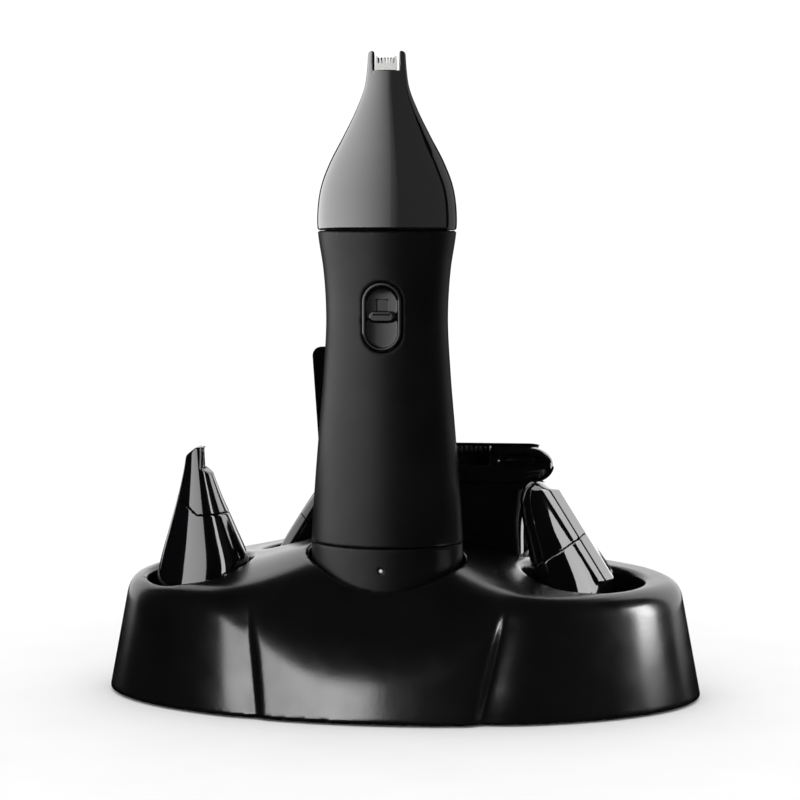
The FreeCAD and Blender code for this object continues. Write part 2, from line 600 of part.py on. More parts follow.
def make_stand():
    """Outer shell with its wells, the plate under it, feet, screws, charging parts."""
    outside = shared("stand_outside", stand_draft("stand_outer", "0"), stand_top_block("stand_top", 0))
    doc.recompute()
    rim = doc.addObject("Part::Fillet", "stand_rim")
    rim.Base = outside
    upper_edges = [number for number, edge in enumerate(outside.Shape.Edges, 1)
                   if edge.BoundBox.ZMin > value("end_level_left") - value("shell_wall") * 4]
    rim.Edges = [(number, value("rim_round"), value("rim_round")) for number in upper_edges]
    inside = shared("stand_inside", stand_draft("stand_inner", "Sizes.shell_wall"),
                    stand_top_block("stand_ceiling", value("shell_wall")))
    openings = []
    for name, (at_x, at_y, wide, deep, floor, lengthwise) in wells.items():
        openings.append(oval_prism(name + "_opening", wide, deep, "Sizes.draft_top", at_x, at_y, floor,
                                   lengthwise))
    openings.append(comb_hollow("comb_opening", "0", "Sizes.store_floor"))
    inlet = rod_along_y("inlet_hole", "Sizes.inlet_radius + Sizes.inlet_wall + Sizes.pin_gap",
                        "Sizes.stand_deep / 4", "0", "Sizes.stand_deep * 3 / 8", "Sizes.inlet_level")
    boss_low = "Sizes.plate_low + Sizes.plate_thick"
    bosses = []
    for side in (-1, 1):
        for depth in (-1, 1):
            at_x = "%d * Sizes.screw_inset_x" % side
            at_y = "%d * Sizes.screw_inset_y" % depth
            column = rod("boss", "Sizes.boss_radius", "Sizes.boss_top - (%s)" % boss_low, at_x, at_y, boss_low)
            pilot = rod("boss_hole", "Sizes.screw_radius", "Sizes.boss_top", at_x, at_y, "0")
            bosses.append(cut("boss_column", shared("boss_inside", column, inside), pilot))
    walls = cut("shell_walls", rim, inside, inlet, *openings)
    node(join("shell", walls, *bosses), "stand_shell")

    for name, (at_x, at_y, wide, deep, floor, lengthwise) in wells.items():
        outer = oval_prism(name + "_outer", wide + " + 2 * Sizes.well_wall", deep + " + 2 * Sizes.well_wall",
                           "Sizes.draft_top", at_x, at_y, floor + " - Sizes.well_floor", lengthwise)
        hollow = oval_prism(name + "_hollow", wide, deep, "Sizes.draft_top", at_x, at_y, floor, lengthwise)
        tools = [hollow]
        if name == "handle_well":
            for side in (-1, 1):
                tools.append(rod("pin_hole", "Sizes.barrel_radius + Sizes.pin_gap", "Sizes.grip_well_floor",
                                 "Sizes.grip_x + %d * Sizes.contact_offset" % side, "Sizes.grip_y",
                                 "Sizes.barrel_low - Sizes.barrel_floor"))
        node(cut(name + "_cup", shared(name + "_blank", outer, inside), *tools), name)
    comb_outer = comb_hollow("comb_outer", "Sizes.well_wall", "Sizes.store_floor - Sizes.well_floor")
    comb_inner = comb_hollow("comb_inner", "0", "Sizes.store_floor")
    node(cut("comb_cup", shared("comb_blank", comb_outer, inside), comb_inner), "comb_well")

    inset = "(Sizes.shell_wall + Sizes.plate_gap)"
    plate = oval_prism("plate_blank", "Sizes.stand_long - Sizes.plate_draft - 2 * %s" % inset,
                       "Sizes.stand_deep - Sizes.plate_draft - 2 * %s" % inset, "Sizes.plate_thick", "0", "0",
                       "Sizes.plate_low")
    holes = []
    screws = []
    feet = []
    for side in (-1, 1):
        for depth in (-1, 1):
            at_x = "%d * Sizes.screw_inset_x" % side
            at_y = "%d * Sizes.screw_inset_y" % depth
            holes.append(rod("screw_hole", "Sizes.screw_radius + Sizes.screw_gap", "Sizes.plate_thick * 2",
                             at_x, at_y, "Sizes.plate_low - Sizes.overrun"))
            head = rod("screw_head", "Sizes.screw_head", "Sizes.screw_head_thick", at_x, at_y,
                       "Sizes.plate_low - Sizes.screw_head_thick")
            shank = rod("screw_shank", "Sizes.screw_radius", "Sizes.screw_long", at_x, at_y, "Sizes.plate_low")
            screws.append(join("base_screw", head, shank))
            feet.append(rod("foot", "Sizes.foot_radius", "Sizes.plate_low",
                            "%d * Sizes.foot_inset_x" % side, "%d * Sizes.foot_inset_y" % depth, "0"))
    node(cut("plate", plate, *holes), "base_plate")
    node(group("feet", *feet), "rubber_feet")
    node(group("screws", *screws), "base_screws")

    board_low = "Sizes.plate_low + Sizes.plate_thick"
    board = box("board", "Sizes.board_long", "Sizes.board_deep", "Sizes.board_thick", "Sizes.grip_x",
                "Sizes.grip_y", board_low)
    node(board, "stand_pcb")
    barrels = []
    plungers = []
    barrel_tall = "Sizes.grip_well_floor - Sizes.barrel_low"
    for side in (-1, 1):
        at_x = "Sizes.grip_x + %d * Sizes.contact_offset" % side
        barrel = rod("barrel_blank", "Sizes.barrel_radius", barrel_tall, at_x, "Sizes.grip_y", "Sizes.barrel_low")
        bore = rod("barrel_bore", "Sizes.pin_radius + Sizes.pin_gap", barrel_tall, at_x, "Sizes.grip_y",
                   "Sizes.barrel_low + Sizes.barrel_floor")
        barrels.append(cut("barrel", barrel, bore))
        plungers.append(rod("plunger", "Sizes.pin_radius", "Sizes.contact_level - Sizes.pin_low", at_x,
                            "Sizes.grip_y", "Sizes.pin_low"))
    node(group("barrels", *barrels), "charge_pin_barrels")
    node(group("plungers", *plungers), "charge_pins")

    inlet_sleeve = rod_along_y("inlet_sleeve", "Sizes.inlet_radius + Sizes.inlet_wall", "Sizes.inlet_long", "0",
                               "Sizes.inlet_front", "Sizes.inlet_level")
    inlet_bore = rod_along_y("inlet_bore", "Sizes.inlet_radius", "Sizes.inlet_long", "0",
                             "Sizes.inlet_front + 2 * Sizes.inlet_wall", "Sizes.inlet_level")
    inlet_pin = rod_along_y("inlet_pin", "Sizes.inlet_pin_radius", "Sizes.inlet_long - 2 * Sizes.inlet_wall", "0",
                            "Sizes.inlet_front + Sizes.inlet_wall", "Sizes.inlet_level")
    inlet_body = box("inlet_body", "Sizes.inlet_body_long", "Sizes.inlet_body_deep", "Sizes.inlet_body_tall", "0",
                     "Sizes.inlet_front", "Sizes.inlet_level - Sizes.inlet_body_tall / 2")
    inlet_shell = cut("inlet_shell", join("inlet_solid", inlet_sleeve, inlet_body), inlet_bore)
    node(join("inlet", inlet_shell, inlet_pin), "dc_socket")


# ---------------------------------------------------------------- handle

def make_handle():
    """Sleeve, bottom cap, collar, carrier, cell, motor, charging parts."""
    at = ("Sizes.grip_x", "Sizes.grip_y")
    sleeve_inside = profile_loft("sleeve", *at, inset="Sizes.sleeve_wall")
    bezel_hole = bezel_blank("bezel_hole")
    node(cut("sleeve", profile_loft("sleeve", *at), sleeve_inside, bezel_hole), "handle_sleeve")

    cap_inside = profile_loft("cap", *at, inset="Sizes.sleeve_wall", lift="Sizes.cap_floor")
    lens_hole = rod_along_y("lens_hole", "Sizes.lens_radius", "Sizes.lens_hole_long", "Sizes.grip_x",
                            "Sizes.grip_y - Sizes.cap_deep_d / 2 - Sizes.overrun", "Sizes.lens_level")
    recesses = []
    contacts = []
    for side in (-1, 1):
        at_x = "Sizes.grip_x + %d * Sizes.contact_offset" % side
        recesses.append(rod("contact_recess", "Sizes.contact_radius", "Sizes.cap_floor * 3", at_x,
                            "Sizes.grip_y", "Sizes.grip_well_floor - Sizes.overrun"))
        contacts.append(rod("contact", "Sizes.contact_radius", "Sizes.contact_thick", at_x, "Sizes.grip_y",
                            "Sizes.contact_level"))
    node(cut("cap", profile_loft("cap", *at), cap_inside, lens_hole, *recesses), "bottom_cap")
    node(group("contacts", *contacts), "handle_contacts")
    lens = doc.addObject("Part::Sphere", "lens_dome")
    bind(lens, Radius="Sizes.lens_radius")
    lens_y = "Sizes.grip_y - Sizes.cap_deep_d / 2 + Sizes.lens_sunk"
    place(lens, "Sizes.grip_x", lens_y, "Sizes.lens_level")
    stem = rod_along_y("lens_stem", "Sizes.lens_radius", "Sizes.lens_stem_long", "Sizes.grip_x", lens_y,
                       "Sizes.lens_level")
    node(join("lens", lens, stem), "indicator_lens")

    board = box("charge_board", "Sizes.charge_board_wide", "Sizes.charge_board_thick", "Sizes.charge_board_tall",
                "Sizes.grip_x", "Sizes.grip_y - Sizes.charge_board_inset", "Sizes.charge_board_level")
    lamp = box("charge_lamp", "Sizes.lamp_wide", "Sizes.lamp_deep", "Sizes.lamp_tall", "Sizes.grip_x",
               "Sizes.grip_y - Sizes.charge_board_inset - (Sizes.charge_board_thick + Sizes.lamp_deep) / 2",
               "Sizes.lens_level - Sizes.lamp_tall / 2")
    node(join("charge_pcb_parts", board, lamp), "charge_pcb")

    node(revolved_cell(), "battery_cell")
    tabs = [box("battery_tab", "Sizes.tab_wide", "Sizes.tab_deep", "Sizes.tab_thick", *at, level)
            for level in ("Sizes.cell_level - Sizes.tab_thick", "Sizes.cell_level + Sizes.cell_long")]
    node(group("tabs", *tabs), "battery_tabs")

    motor_round = rod("motor_round", "Sizes.motor_round", "Sizes.motor_long", *at, "Sizes.motor_level")
    motor_flat = box("motor_flat", "3 * Sizes.motor_round", "Sizes.motor_flat", "Sizes.motor_long", *at,
                     "Sizes.motor_level")
    motor_end = rod("motor_end", "Sizes.motor_boss_radius", "Sizes.motor_boss_tall", *at,
                    "Sizes.motor_level - Sizes.motor_boss_tall")
    motor_bore = rod("motor_bore", "Sizes.shaft_radius + Sizes.seat_gap", "Sizes.motor_long", *at,
                     "Sizes.motor_level + Sizes.motor_bore_low")
    motor_blank = join("motor_solid", shared("motor_can_blank", motor_round, motor_flat), motor_end)
    node(cut("motor", motor_blank, motor_bore), "motor_can")
    shaft = rod("shaft", "Sizes.shaft_radius", "Sizes.cam_level - Sizes.motor_level - Sizes.shaft_low", *at,
                "Sizes.motor_level + Sizes.shaft_low")
    node(shaft, "motor_shaft")
    disc = rod("cam_disc", "Sizes.cam_radius", "Sizes.cam_thick", *at, "Sizes.cam_level")
    pin = rod("cam_pin", "Sizes.cam_pin_radius", "Sizes.cam_pin_top - Sizes.cam_level",
              "Sizes.grip_x + Sizes.cam_throw", "Sizes.grip_y", "Sizes.cam_level")
    node(join("cam", disc, pin), "eccentric_cam")

    seat = profile_loft("sleeve", *at, inset="(Sizes.sleeve_wall + Sizes.seat_gap)")
    shelf = shared("motor_shelf", seat, slab("shelf_slab", "Sizes.shelf_low",
                                             "Sizes.shelf_low + Sizes.shelf_thick"))
    divider = shared("divider", seat, slab("divider_slab", "Sizes.divider_low",
                                           "Sizes.divider_low + Sizes.shelf_thick"))
    spine = box("spine", "Sizes.spine_wide", "Sizes.spine_thick",
                "Sizes.shelf_low + Sizes.shelf_thick / 2 - Sizes.spine_low", "Sizes.grip_x", "Sizes.grip_y + Sizes.spine_offset", "Sizes.spine_low")
    shelf_hole = rod("shelf_hole", "Sizes.shelf_hole_radius", "2 * Sizes.shelf_thick", *at,
                     "Sizes.shelf_low - Sizes.overrun")
    wire_hole = rod("wire_hole", "Sizes.wire_hole_radius", "2 * Sizes.shelf_thick", *at,
                    "Sizes.divider_low - Sizes.overrun")
    node(cut("carrier", join("carrier_solid", shelf, divider, spine), shelf_hole, wire_hole), "motor_carrier")

    lid = shared("collar_lid", seat, slab("lid_slab", "Sizes.joint_level - Sizes.lid_thick", "Sizes.joint_level"))
    spigot = rod("spigot", "Sizes.spigot_radius", "Sizes.spigot_top - Sizes.joint_level + Sizes.spigot_root",
                 *at, "Sizes.joint_level - Sizes.spigot_root")
    bore = rod("spigot_hole", "Sizes.spigot_bore", "Sizes.spigot_top", *at,
               "Sizes.joint_level - 2 * Sizes.lid_thick")
    node(cut("collar", join("collar_solid", lid, spigot), bore), "neck_collar")


def revolved_cell():
    """The cell: a can with a raised positive end, turned about its axis."""
    cell = body("Cell")
    drawing = sketch(cell, "XZ_Plane")
    draw_rectangle(drawing, "0", "Sizes.cell_radius", "0", "Sizes.cell_long")
    turned = cell.newObject("PartDesign::Revolution", "Cell_turned")
    turned.Profile = drawing
    turned.ReferenceAxis = (drawing, ["V_Axis"])
    turned.Angle = 360
    place(cell, "Sizes.grip_x", "Sizes.grip_y", "Sizes.cell_level")
    return cell


# ---------------------------------------------------------------- switch

def rounded_bar(name, wide, tall, deep, front, level):
    """A bar with round ends, standing upright on the handle's front."""
    middle = box(name + "_middle", wide, deep, "(%s) - (%s)" % (tall, wide), "Sizes.grip_x",
                 "%s + (%s) / 2" % (front, deep), "%s - ((%s) - (%s)) / 2" % (level, tall, wide))
    upper = rod_along_y(name + "_upper", "(%s) / 2" % wide, deep, "Sizes.grip_x", front,
                        "%s + ((%s) - (%s)) / 2" % (level, tall, wide))
    lower = rod_along_y(name + "_lower", "(%s) / 2" % wide, deep, "Sizes.grip_x", front,
                        "%s - ((%s) - (%s)) / 2" % (level, tall, wide))
    return join(name, middle, upper, lower)


def bezel_blank(name):
    """The bezel's outside."""
    return rounded_bar(name, "Sizes.bezel_wide", "Sizes.bezel_long", "Sizes.bezel_thick",
                       "Sizes.bezel_front", "Sizes.switch_level")


def make_switch():
    """Bezel round a recessed well, and the slider whose thumb bar stands in it."""
    well = rounded_bar("bezel_well", "Sizes.bezel_wide - 2 * Sizes.bezel_wall",
                       "Sizes.bezel_long - 2 * Sizes.bezel_wall", "Sizes.bezel_thick - Sizes.well_back",
                       "Sizes.bezel_front", "Sizes.switch_level")
    slot = box("bezel_slot", "Sizes.neck_wide + Sizes.neck_gap", "2 * Sizes.bezel_thick",
               "Sizes.neck_tall + Sizes.switch_travel + 2 * Sizes.neck_gap", "Sizes.grip_x",
               "Sizes.bezel_front + Sizes.bezel_thick",
               "Sizes.switch_level - Sizes.neck_tall / 2 - Sizes.neck_gap")
    node(cut("bezel", bezel_blank("bezel_outside"), well, slot), "switch_bezel")

    floor_front = "Sizes.bezel_front + Sizes.bezel_thick - Sizes.well_back"
    thumb = box("thumb", "Sizes.thumb_wide", "Sizes.thumb_deep", "Sizes.thumb_tall", "Sizes.grip_x",
                "%s - Sizes.slider_gap - Sizes.thumb_deep / 2" % floor_front,
                "Sizes.switch_level - Sizes.thumb_tall / 2")
    groove = box("thumb_groove", "Sizes.thumb_wide - 2 * Sizes.groove_margin", "2 * Sizes.groove_deep",
                 "Sizes.groove_tall", "Sizes.grip_x", "%s - Sizes.slider_gap - Sizes.thumb_deep" % floor_front,
                 "Sizes.switch_level - Sizes.groove_tall / 2")
    neck = box("slider_neck", "Sizes.neck_wide", "Sizes.well_back + 2 * Sizes.neck_root", "Sizes.neck_tall",
               "Sizes.grip_x", "%s + Sizes.well_back / 2" % floor_front,
               "Sizes.switch_level - Sizes.neck_tall / 2")
    keeper = box("slider_keeper", "Sizes.keeper_wide", "Sizes.keeper_thick", "Sizes.keeper_tall", "Sizes.grip_x",
                 "Sizes.bezel_front + Sizes.bezel_thick + Sizes.keeper_thick / 2 + Sizes.slider_gap",
                 "Sizes.switch_level + Sizes.keeper_lift - Sizes.keeper_tall / 2")
    node(join("slider", cut("thumb_bar", thumb, groove), neck, keeper), "switch_slider")
    leaf = box("contact_leaf", "Sizes.leaf_wide", "Sizes.leaf_thick", "Sizes.leaf_tall", "Sizes.grip_x",
               "Sizes.bezel_front + Sizes.bezel_thick + Sizes.leaf_offset",
               "Sizes.switch_level - Sizes.leaf_tall / 2")
    node(leaf, "switch_leaf")


# ---------------------------------------------------------------- detail head

def toothed_blade(name, wide, tall, thick, pitch, gap, depth, count):
    """A flat blade whose upper edge is cut into teeth; it faces -Y and starts at its origin."""
    blade = body(name)
    outline = sketch(blade, "XZ_Plane")
    draw_rectangle(outline, "-(%s) / 2" % wide, "(%s) / 2" % wide, "0", tall)
    pad(blade, outline, thick)
    gap_outline = sketch(blade, "XZ_Plane")
    first_gap = "-(%s) * %d / 2" % (pitch, count - 1)
    draw_rectangle(gap_outline, "%s - (%s) / 2" % (first_gap, gap), "%s + (%s) / 2" % (first_gap, gap),
                   "(%s) - (%s)" % (tall, depth), "(%s) + Sizes.overrun" % tall)
    slit = pocket(blade, gap_outline)
    row = blade.newObject("PartDesign::LinearPattern", name + "_row")
    row.Originals = [slit]
    row.Direction = (outline, ["H_Axis"])
    row.Occurrences = count
    row.setExpression("Length", "(%s) * %d" % (pitch, count - 1))
    blade.Tip = row
    return blade


def make_detail_head():
    """Bottle-shaped shell with two prongs, its insert, blades, lever and pin."""
    at = ("Sizes.grip_x", "Sizes.grip_y")
    outside = profile_loft("head", *at)
    head_inside = profile_loft("head", *at, inset="Sizes.head_wall")
    hollow = shared("head_hollow", head_inside, slab("hollow_slab", "Sizes.joint_level - Sizes.overrun",
                                                       "Sizes.hollow_top"))
    prongs = []
    for side in (-1, 1):
        prongs.append(box("prong", "Sizes.prong_outer - Sizes.prong_inner", "Sizes.prong_deep",
                          "Sizes.prong_top - Sizes.head_roof + Sizes.overrun",
                          "Sizes.grip_x + %d * (Sizes.prong_inner + Sizes.prong_outer) / 2" % side,
                          "Sizes.grip_y - Sizes.prong_shift", "Sizes.head_roof - Sizes.overrun"))
    blade_slot = box("blade_slot", "Sizes.blade_wide + 2 * Sizes.blade_gap", "Sizes.blade_slot_deep",
                     "Sizes.blade_slot_tall", "Sizes.grip_x",
                     "Sizes.blade_front + Sizes.blade_slot_deep / 2 - Sizes.blade_gap",
                     "Sizes.blade_low - Sizes.blade_slot_drop")
    node(cut("shell", join("head_solid", outside, *prongs), hollow, blade_slot), "head_shell")

    insert_top = "Sizes.spigot_top + Sizes.insert_roof"
    seat = profile_loft("head", *at, inset="(Sizes.head_wall + Sizes.seat_gap)")
    plug = shared("insert_plug", seat, slab("insert_slab", "Sizes.joint_level + Sizes.insert_gap", insert_top))
    socket = rod("insert_socket", "Sizes.spigot_radius + Sizes.fit_gap",
                 "Sizes.spigot_top - Sizes.joint_level + Sizes.overrun + Sizes.socket_room", *at,
                 "Sizes.joint_level - Sizes.overrun")
    window = box("insert_window", "Sizes.window_wide", "Sizes.window_deep", "Sizes.window_tall", *at,
                 "Sizes.joint_level")
    arms = []
    for side in (-1, 1):
        arms.append(box("pivot_arm", "Sizes.arm_wide", "Sizes.arm_thick",
                        "Sizes.pivot_level + Sizes.arm_over - Sizes.spigot_top", "Sizes.grip_x",
                        "Sizes.grip_y + %d * Sizes.arm_offset" % side, "Sizes.spigot_top + Sizes.arm_root"))
    pin_hole = rod_along_y("arm_hole", "Sizes.pivot_radius", "2 * Sizes.arm_wide", "Sizes.grip_x",
                           "Sizes.grip_y - Sizes.arm_wide", "Sizes.pivot_level")
    node(cut("insert", join("insert_solid", plug, *arms), socket, window, pin_hole), "head_insert")
    node(rod_along_y("lever_pin_rod", "Sizes.pivot_radius", "Sizes.pivot_long", "Sizes.grip_x",
                     "Sizes.grip_y - Sizes.pivot_long / 2", "Sizes.pivot_level"), "lever_pin")

    fixed = toothed_blade("FixedBlade", "Sizes.blade_wide", "Sizes.blade_top - Sizes.blade_low",
                          "Sizes.blade_thick", "Sizes.tooth_pitch", "Sizes.tooth_slot", "Sizes.tooth_deep",
                          int(value("fixed_gaps")))
    place(fixed, "Sizes.grip_x", "Sizes.blade_front + Sizes.blade_thick", "Sizes.blade_low")
    node(fixed, "fixed_blade")
    moving = toothed_blade("MovingBlade", "Sizes.blade_wide - Sizes.moving_margin",
                           "Sizes.blade_top - Sizes.blade_low - Sizes.moving_drop", "Sizes.moving_thick",
                           "Sizes.tooth_pitch", "Sizes.tooth_slot", "Sizes.tooth_deep",
                           int(value("moving_gaps")))
    place(moving, "Sizes.grip_x", "Sizes.blade_front + Sizes.blade_thick + Sizes.blade_lap + Sizes.moving_thick",
          "Sizes.blade_low")
    nub_level = "Sizes.pivot_level + Sizes.nub_arm"
    eye = box("blade_eye", "Sizes.nub_wide + 2 * Sizes.eye_gap", "Sizes.eye_deep", "Sizes.eye_tall",
              "Sizes.grip_x", "Sizes.grip_y - Sizes.eye_front", nub_level + " - Sizes.eye_tall / 2")
    node(cut("moving_blade_eye", moving, eye), "moving_blade")
    strip = box("spring_strip", "Sizes.spring_wide", "Sizes.spring_thick", "Sizes.spring_tall", "Sizes.grip_x",
                "Sizes.blade_front + Sizes.spring_back", "Sizes.blade_low + Sizes.spring_low")
    foot = box("spring_foot", "Sizes.spring_wide", "Sizes.spring_foot_deep", "Sizes.spring_foot_tall",
               "Sizes.grip_x", "Sizes.blade_front + Sizes.spring_foot_back", "Sizes.blade_low + Sizes.spring_low")
    node(join("spring", strip, foot), "blade_spring")

    fork_slot = "2 * (Sizes.cam_pin_radius + 2 * Sizes.cam_throw + Sizes.fork_gap)"
    stem = box("lever_stem", "Sizes.stem_wide", "Sizes.lever_thick",
               "Sizes.blade_low + Sizes.stem_over - Sizes.cam_pin_top", *at, "Sizes.cam_pin_top + Sizes.stem_root")
    fork = box("lever_fork", fork_slot + " + 2 * Sizes.fork_wall", "Sizes.lever_thick",
               "Sizes.cam_pin_top - Sizes.joint_level + Sizes.fork_over", *at,
               "Sizes.joint_level - Sizes.fork_low")
    fork_gap = box("fork_gap", fork_slot, "2 * Sizes.lever_thick",
                   "Sizes.cam_pin_top - Sizes.joint_level + Sizes.overrun + Sizes.socket_room", *at,
                   "Sizes.joint_level - Sizes.overrun")
    boss = rod_along_y("lever_boss", "Sizes.lever_boss_radius", "Sizes.lever_thick", "Sizes.grip_x",
                       "Sizes.grip_y - Sizes.lever_thick / 2", "Sizes.pivot_level")
    bore = rod_along_y("lever_bore", "Sizes.pivot_radius + Sizes.seat_gap", "Sizes.pivot_long", "Sizes.grip_x",
                       "Sizes.grip_y - Sizes.pivot_long / 2", "Sizes.pivot_level")
    nub = box("lever_nub", "Sizes.nub_wide", "Sizes.nub_deep", "Sizes.nub_tall", "Sizes.grip_x",
              "Sizes.grip_y - Sizes.nub_front", nub_level + " - Sizes.nub_tall / 2")
    node(cut("lever", join("lever_solid", stem, fork, boss, nub), fork_gap, bore), "drive_lever")


# ---------------------------------------------------------------- stored heads and comb

def stored_head(stem, at_x, at_y):
    """A head's foot: a plug with the bore that fits the spigot, and a hollow above it."""
    outside = profile_loft(stem, at_x, at_y)
    bore = rod(stem + "_bore", "Sizes.spigot_radius + Sizes.fit_gap",
               "Sizes.plug_roof - Sizes.store_floor + Sizes.overrun",
               at_x, at_y, "Sizes.store_floor - Sizes.overrun")
    inside = profile_loft(stem, at_x, at_y, inset="Sizes.head_wall")
    above = shared(stem + "_cavity", inside, slab(stem + "_cavity_slab", "Sizes.plug_roof + Sizes.plug_thick",
                                                      "Sizes.draft_top * 2"))
    return cut(stem + "_hollow", outside, bore, above)


def head_top(stem, at_x, at_y, roof):
    """A head's upper shell, hollow up to its roof."""
    inside = profile_loft(stem, at_x, at_y, inset="Sizes.head_wall")
    cavity = shared(stem + "_cavity", inside, slab(stem + "_cavity_slab", "0", roof))
    return cut(stem + "_shell", profile_loft(stem, at_x, at_y), cavity)


def make_nose_head():
    """Cone, slotted tip and the cutter that spins inside."""
    at = ("Sizes.nose_x", "Sizes.nose_y")
    foot = stored_head("cone", *at)
    cutter_x = "Sizes.nose_x - Sizes.cutter_shift"
    shaft_hole = rod("cone_shaft_hole", "Sizes.nose_bore", "Sizes.draft_top", cutter_x, "Sizes.nose_y",
                     "Sizes.store_floor")
    node(cut("cone_shell", foot, shaft_hole), "nose_head_shell")
    tip = profile_loft("cone_tip", *at)
    tip_bore = rod("tip_bore", "Sizes.nose_bore", "Sizes.nose_bore_long", cutter_x, "Sizes.nose_y",
                   "Sizes.cone_tip_level_a")
    slots = []
    slit_count = int(value("slit_count"))
    for number in range(slit_count):
        slit = box("tip_slit", "Sizes.slit_wide", "Sizes.slit_long", "Sizes.slit_tall", cutter_x, "Sizes.nose_y",
                   "Sizes.slit_low")
        turned = doc.addObject("Part::Compound", "turned_slit")
        turned.Links = [slit]
        centre = FreeCAD.Vector(value("nose_x") - value("cutter_shift"), value("nose_y"), 0)
        turned.Placement = FreeCAD.Placement(FreeCAD.Vector(0, 0, 0), FreeCAD.Rotation(
            FreeCAD.Vector(0, 0, 1), 180 * number / slit_count), centre)
        slots.append(turned)
    node(cut("tip", tip, tip_bore, *slots), "nose_head_tip")
    spindle = rod("cutter_spindle", "Sizes.spindle_radius", "Sizes.spindle_long", cutter_x, "Sizes.nose_y",
                  "Sizes.spindle_low")
    wings = [box("cutter_wing", wide, deep, "Sizes.wing_tall", cutter_x, "Sizes.nose_y", "Sizes.wing_low")
             for wide, deep in (("Sizes.wing_wide", "Sizes.wing_thick"), ("Sizes.wing_thick", "Sizes.wing_wide"))]
    node(join("cutter", spindle, *wings), "nose_cutter")


def make_shaver_head():
    """The head that leans to the left, with a foil over its cutter bar."""
    at = ("Sizes.shaver_x", "Sizes.shaver_y")
    node(stored_head("shaver", *at), "shaver_head_base")
    top = head_top("shaver_top", *at, "Sizes.shaver_roof")
    bar_x = "Sizes.shaver_x - Sizes.shaver_bar_shift"
    pit = box("cutter_pit", "Sizes.shaver_pit_wide", "Sizes.shaver_pit_deep", "Sizes.shaver_pit_tall", bar_x,
              "Sizes.shaver_y", "Sizes.shaver_pit_low")
    node(cut("top", top, pit), "shaver_head_top")
    bar = box("cutter_bar", "Sizes.shaver_bar_wide", "Sizes.shaver_bar_deep", "Sizes.shaver_bar_tall", bar_x,
              "Sizes.shaver_y", "Sizes.shaver_bar_low")
    node(bar, "shaver_cutter")


def make_clipper_head():
    """The wide head at the rear right with a row of teeth along its upper front edge."""
    at = ("Sizes.clipper_x", "Sizes.clipper_y")
    node(stored_head("clipper", *at), "clipper_head_base")
    seat = box("clipper_seat", "Sizes.clipper_blade_wide + 2 * Sizes.clipper_seat_gap", "Sizes.clipper_seat_deep",
               "Sizes.clipper_seat_tall", "Sizes.clipper_blade_x", "Sizes.clipper_y - Sizes.clipper_seat_front",
               "Sizes.clipper_seat_low")
    node(cut("clipper_top_cut", head_top("clipper_top", *at, "Sizes.clipper_roof"), seat), "clipper_head_top")
    seat_back = "Sizes.clipper_y - Sizes.clipper_blade_back"
    fixed = toothed_blade("ClipperComb", "Sizes.clipper_blade_wide", "Sizes.clipper_blade_tall",
                          "Sizes.clipper_blade_thick", "Sizes.clipper_pitch", "Sizes.clipper_slot",
                          "Sizes.clipper_tooth_deep", int(value("clipper_gaps")))
    place(fixed, "Sizes.clipper_blade_x", seat_back, "Sizes.clipper_blade_low")
    node(fixed, "clipper_comb_blade")
    moving = toothed_blade("ClipperCutter", "Sizes.clipper_blade_wide - Sizes.clipper_cutter_margin",
                           "Sizes.clipper_cutter_tall", "Sizes.clipper_cutter_thick", "Sizes.clipper_pitch",
                           "Sizes.clipper_slot", "Sizes.clipper_cutter_tooth", int(value("clipper_cutter_gaps")))
    place(moving, "Sizes.clipper_blade_x", seat_back + " - Sizes.clipper_blade_thick - Sizes.blade_lap",
          "Sizes.clipper_cutter_low")
    node(moving, "clipper_cutter_blade")


def make_wedge_head():
    """The narrow wedge-shaped head at the rear left."""
    at = ("Sizes.wedge_x", "Sizes.wedge_y")
    node(stored_head("wedge", *at), "wedge_head_base")
    node(head_top("wedge_top", *at, "Sizes.wedge_roof"), "wedge_head_top")


def make_comb():
    """A flat comb standing on its narrow end, its back to the left and its teeth pointing right."""
    comb = body("Comb")
    outline = sketch(comb, "XZ_Plane")
    draw_polygon(outline, (("-Sizes.comb_foot_wide / 2", "0"), ("Sizes.comb_foot_wide / 2", "0"),
                           ("Sizes.comb_wide / 2", "Sizes.comb_tall"),
                           ("-Sizes.comb_wide / 2", "Sizes.comb_tall")))
    pad(comb, outline, "Sizes.comb_thick")
    gap_outline = sketch(comb, "XZ_Plane")
    first = "Sizes.comb_tall - Sizes.comb_margin - Sizes.comb_teeth * Sizes.comb_pitch"
    draw_rectangle(gap_outline, "Sizes.comb_wide / 2 - Sizes.comb_reach", "Sizes.comb_wide / 2 + Sizes.overrun",
                   first, first + " + Sizes.comb_slot")
    slit = pocket(comb, gap_outline)
    row = comb.newObject("PartDesign::LinearPattern", "Comb_row")
    row.Originals = [slit]
    row.Direction = (gap_outline, ["V_Axis"])
    row.Occurrences = int(value("comb_teeth"))
    row.setExpression("Length", "Sizes.comb_pitch * (Sizes.comb_teeth - 1)")
    comb.Tip = row
    place(comb, "Sizes.comb_x", "Sizes.comb_y + Sizes.comb_thick / 2", "Sizes.store_floor + 0.1")
    node(comb, "styling_comb")


make_stand()
make_handle()
make_switch()
make_detail_head()
make_nose_head()
make_shaver_head()
make_clipper_head()
make_wedge_head()
make_comb()
doc.recompute()

# ---------------------------------------------------------------- checks and export

problems = [obj.Name for obj in doc.Objects if {"Invalid", "Error"} & set(obj.State)]
for part in sub_parts:
    if part.Shape.isNull() or not part.Shape.isValid() or not part.Shape.Solids:
        problems.append(part.Label)
if problems:
    raise RuntimeError("failed objects: " + ", ".join(problems))

os.makedirs("parts", exist_ok=True)
for part in sub_parts:
    part.Shape.exportStep("parts/%s.step" % part.Label)
    print(part.Label, len(part.Shape.Solids), round(part.Shape.Volume, 1))
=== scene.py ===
import json
import math

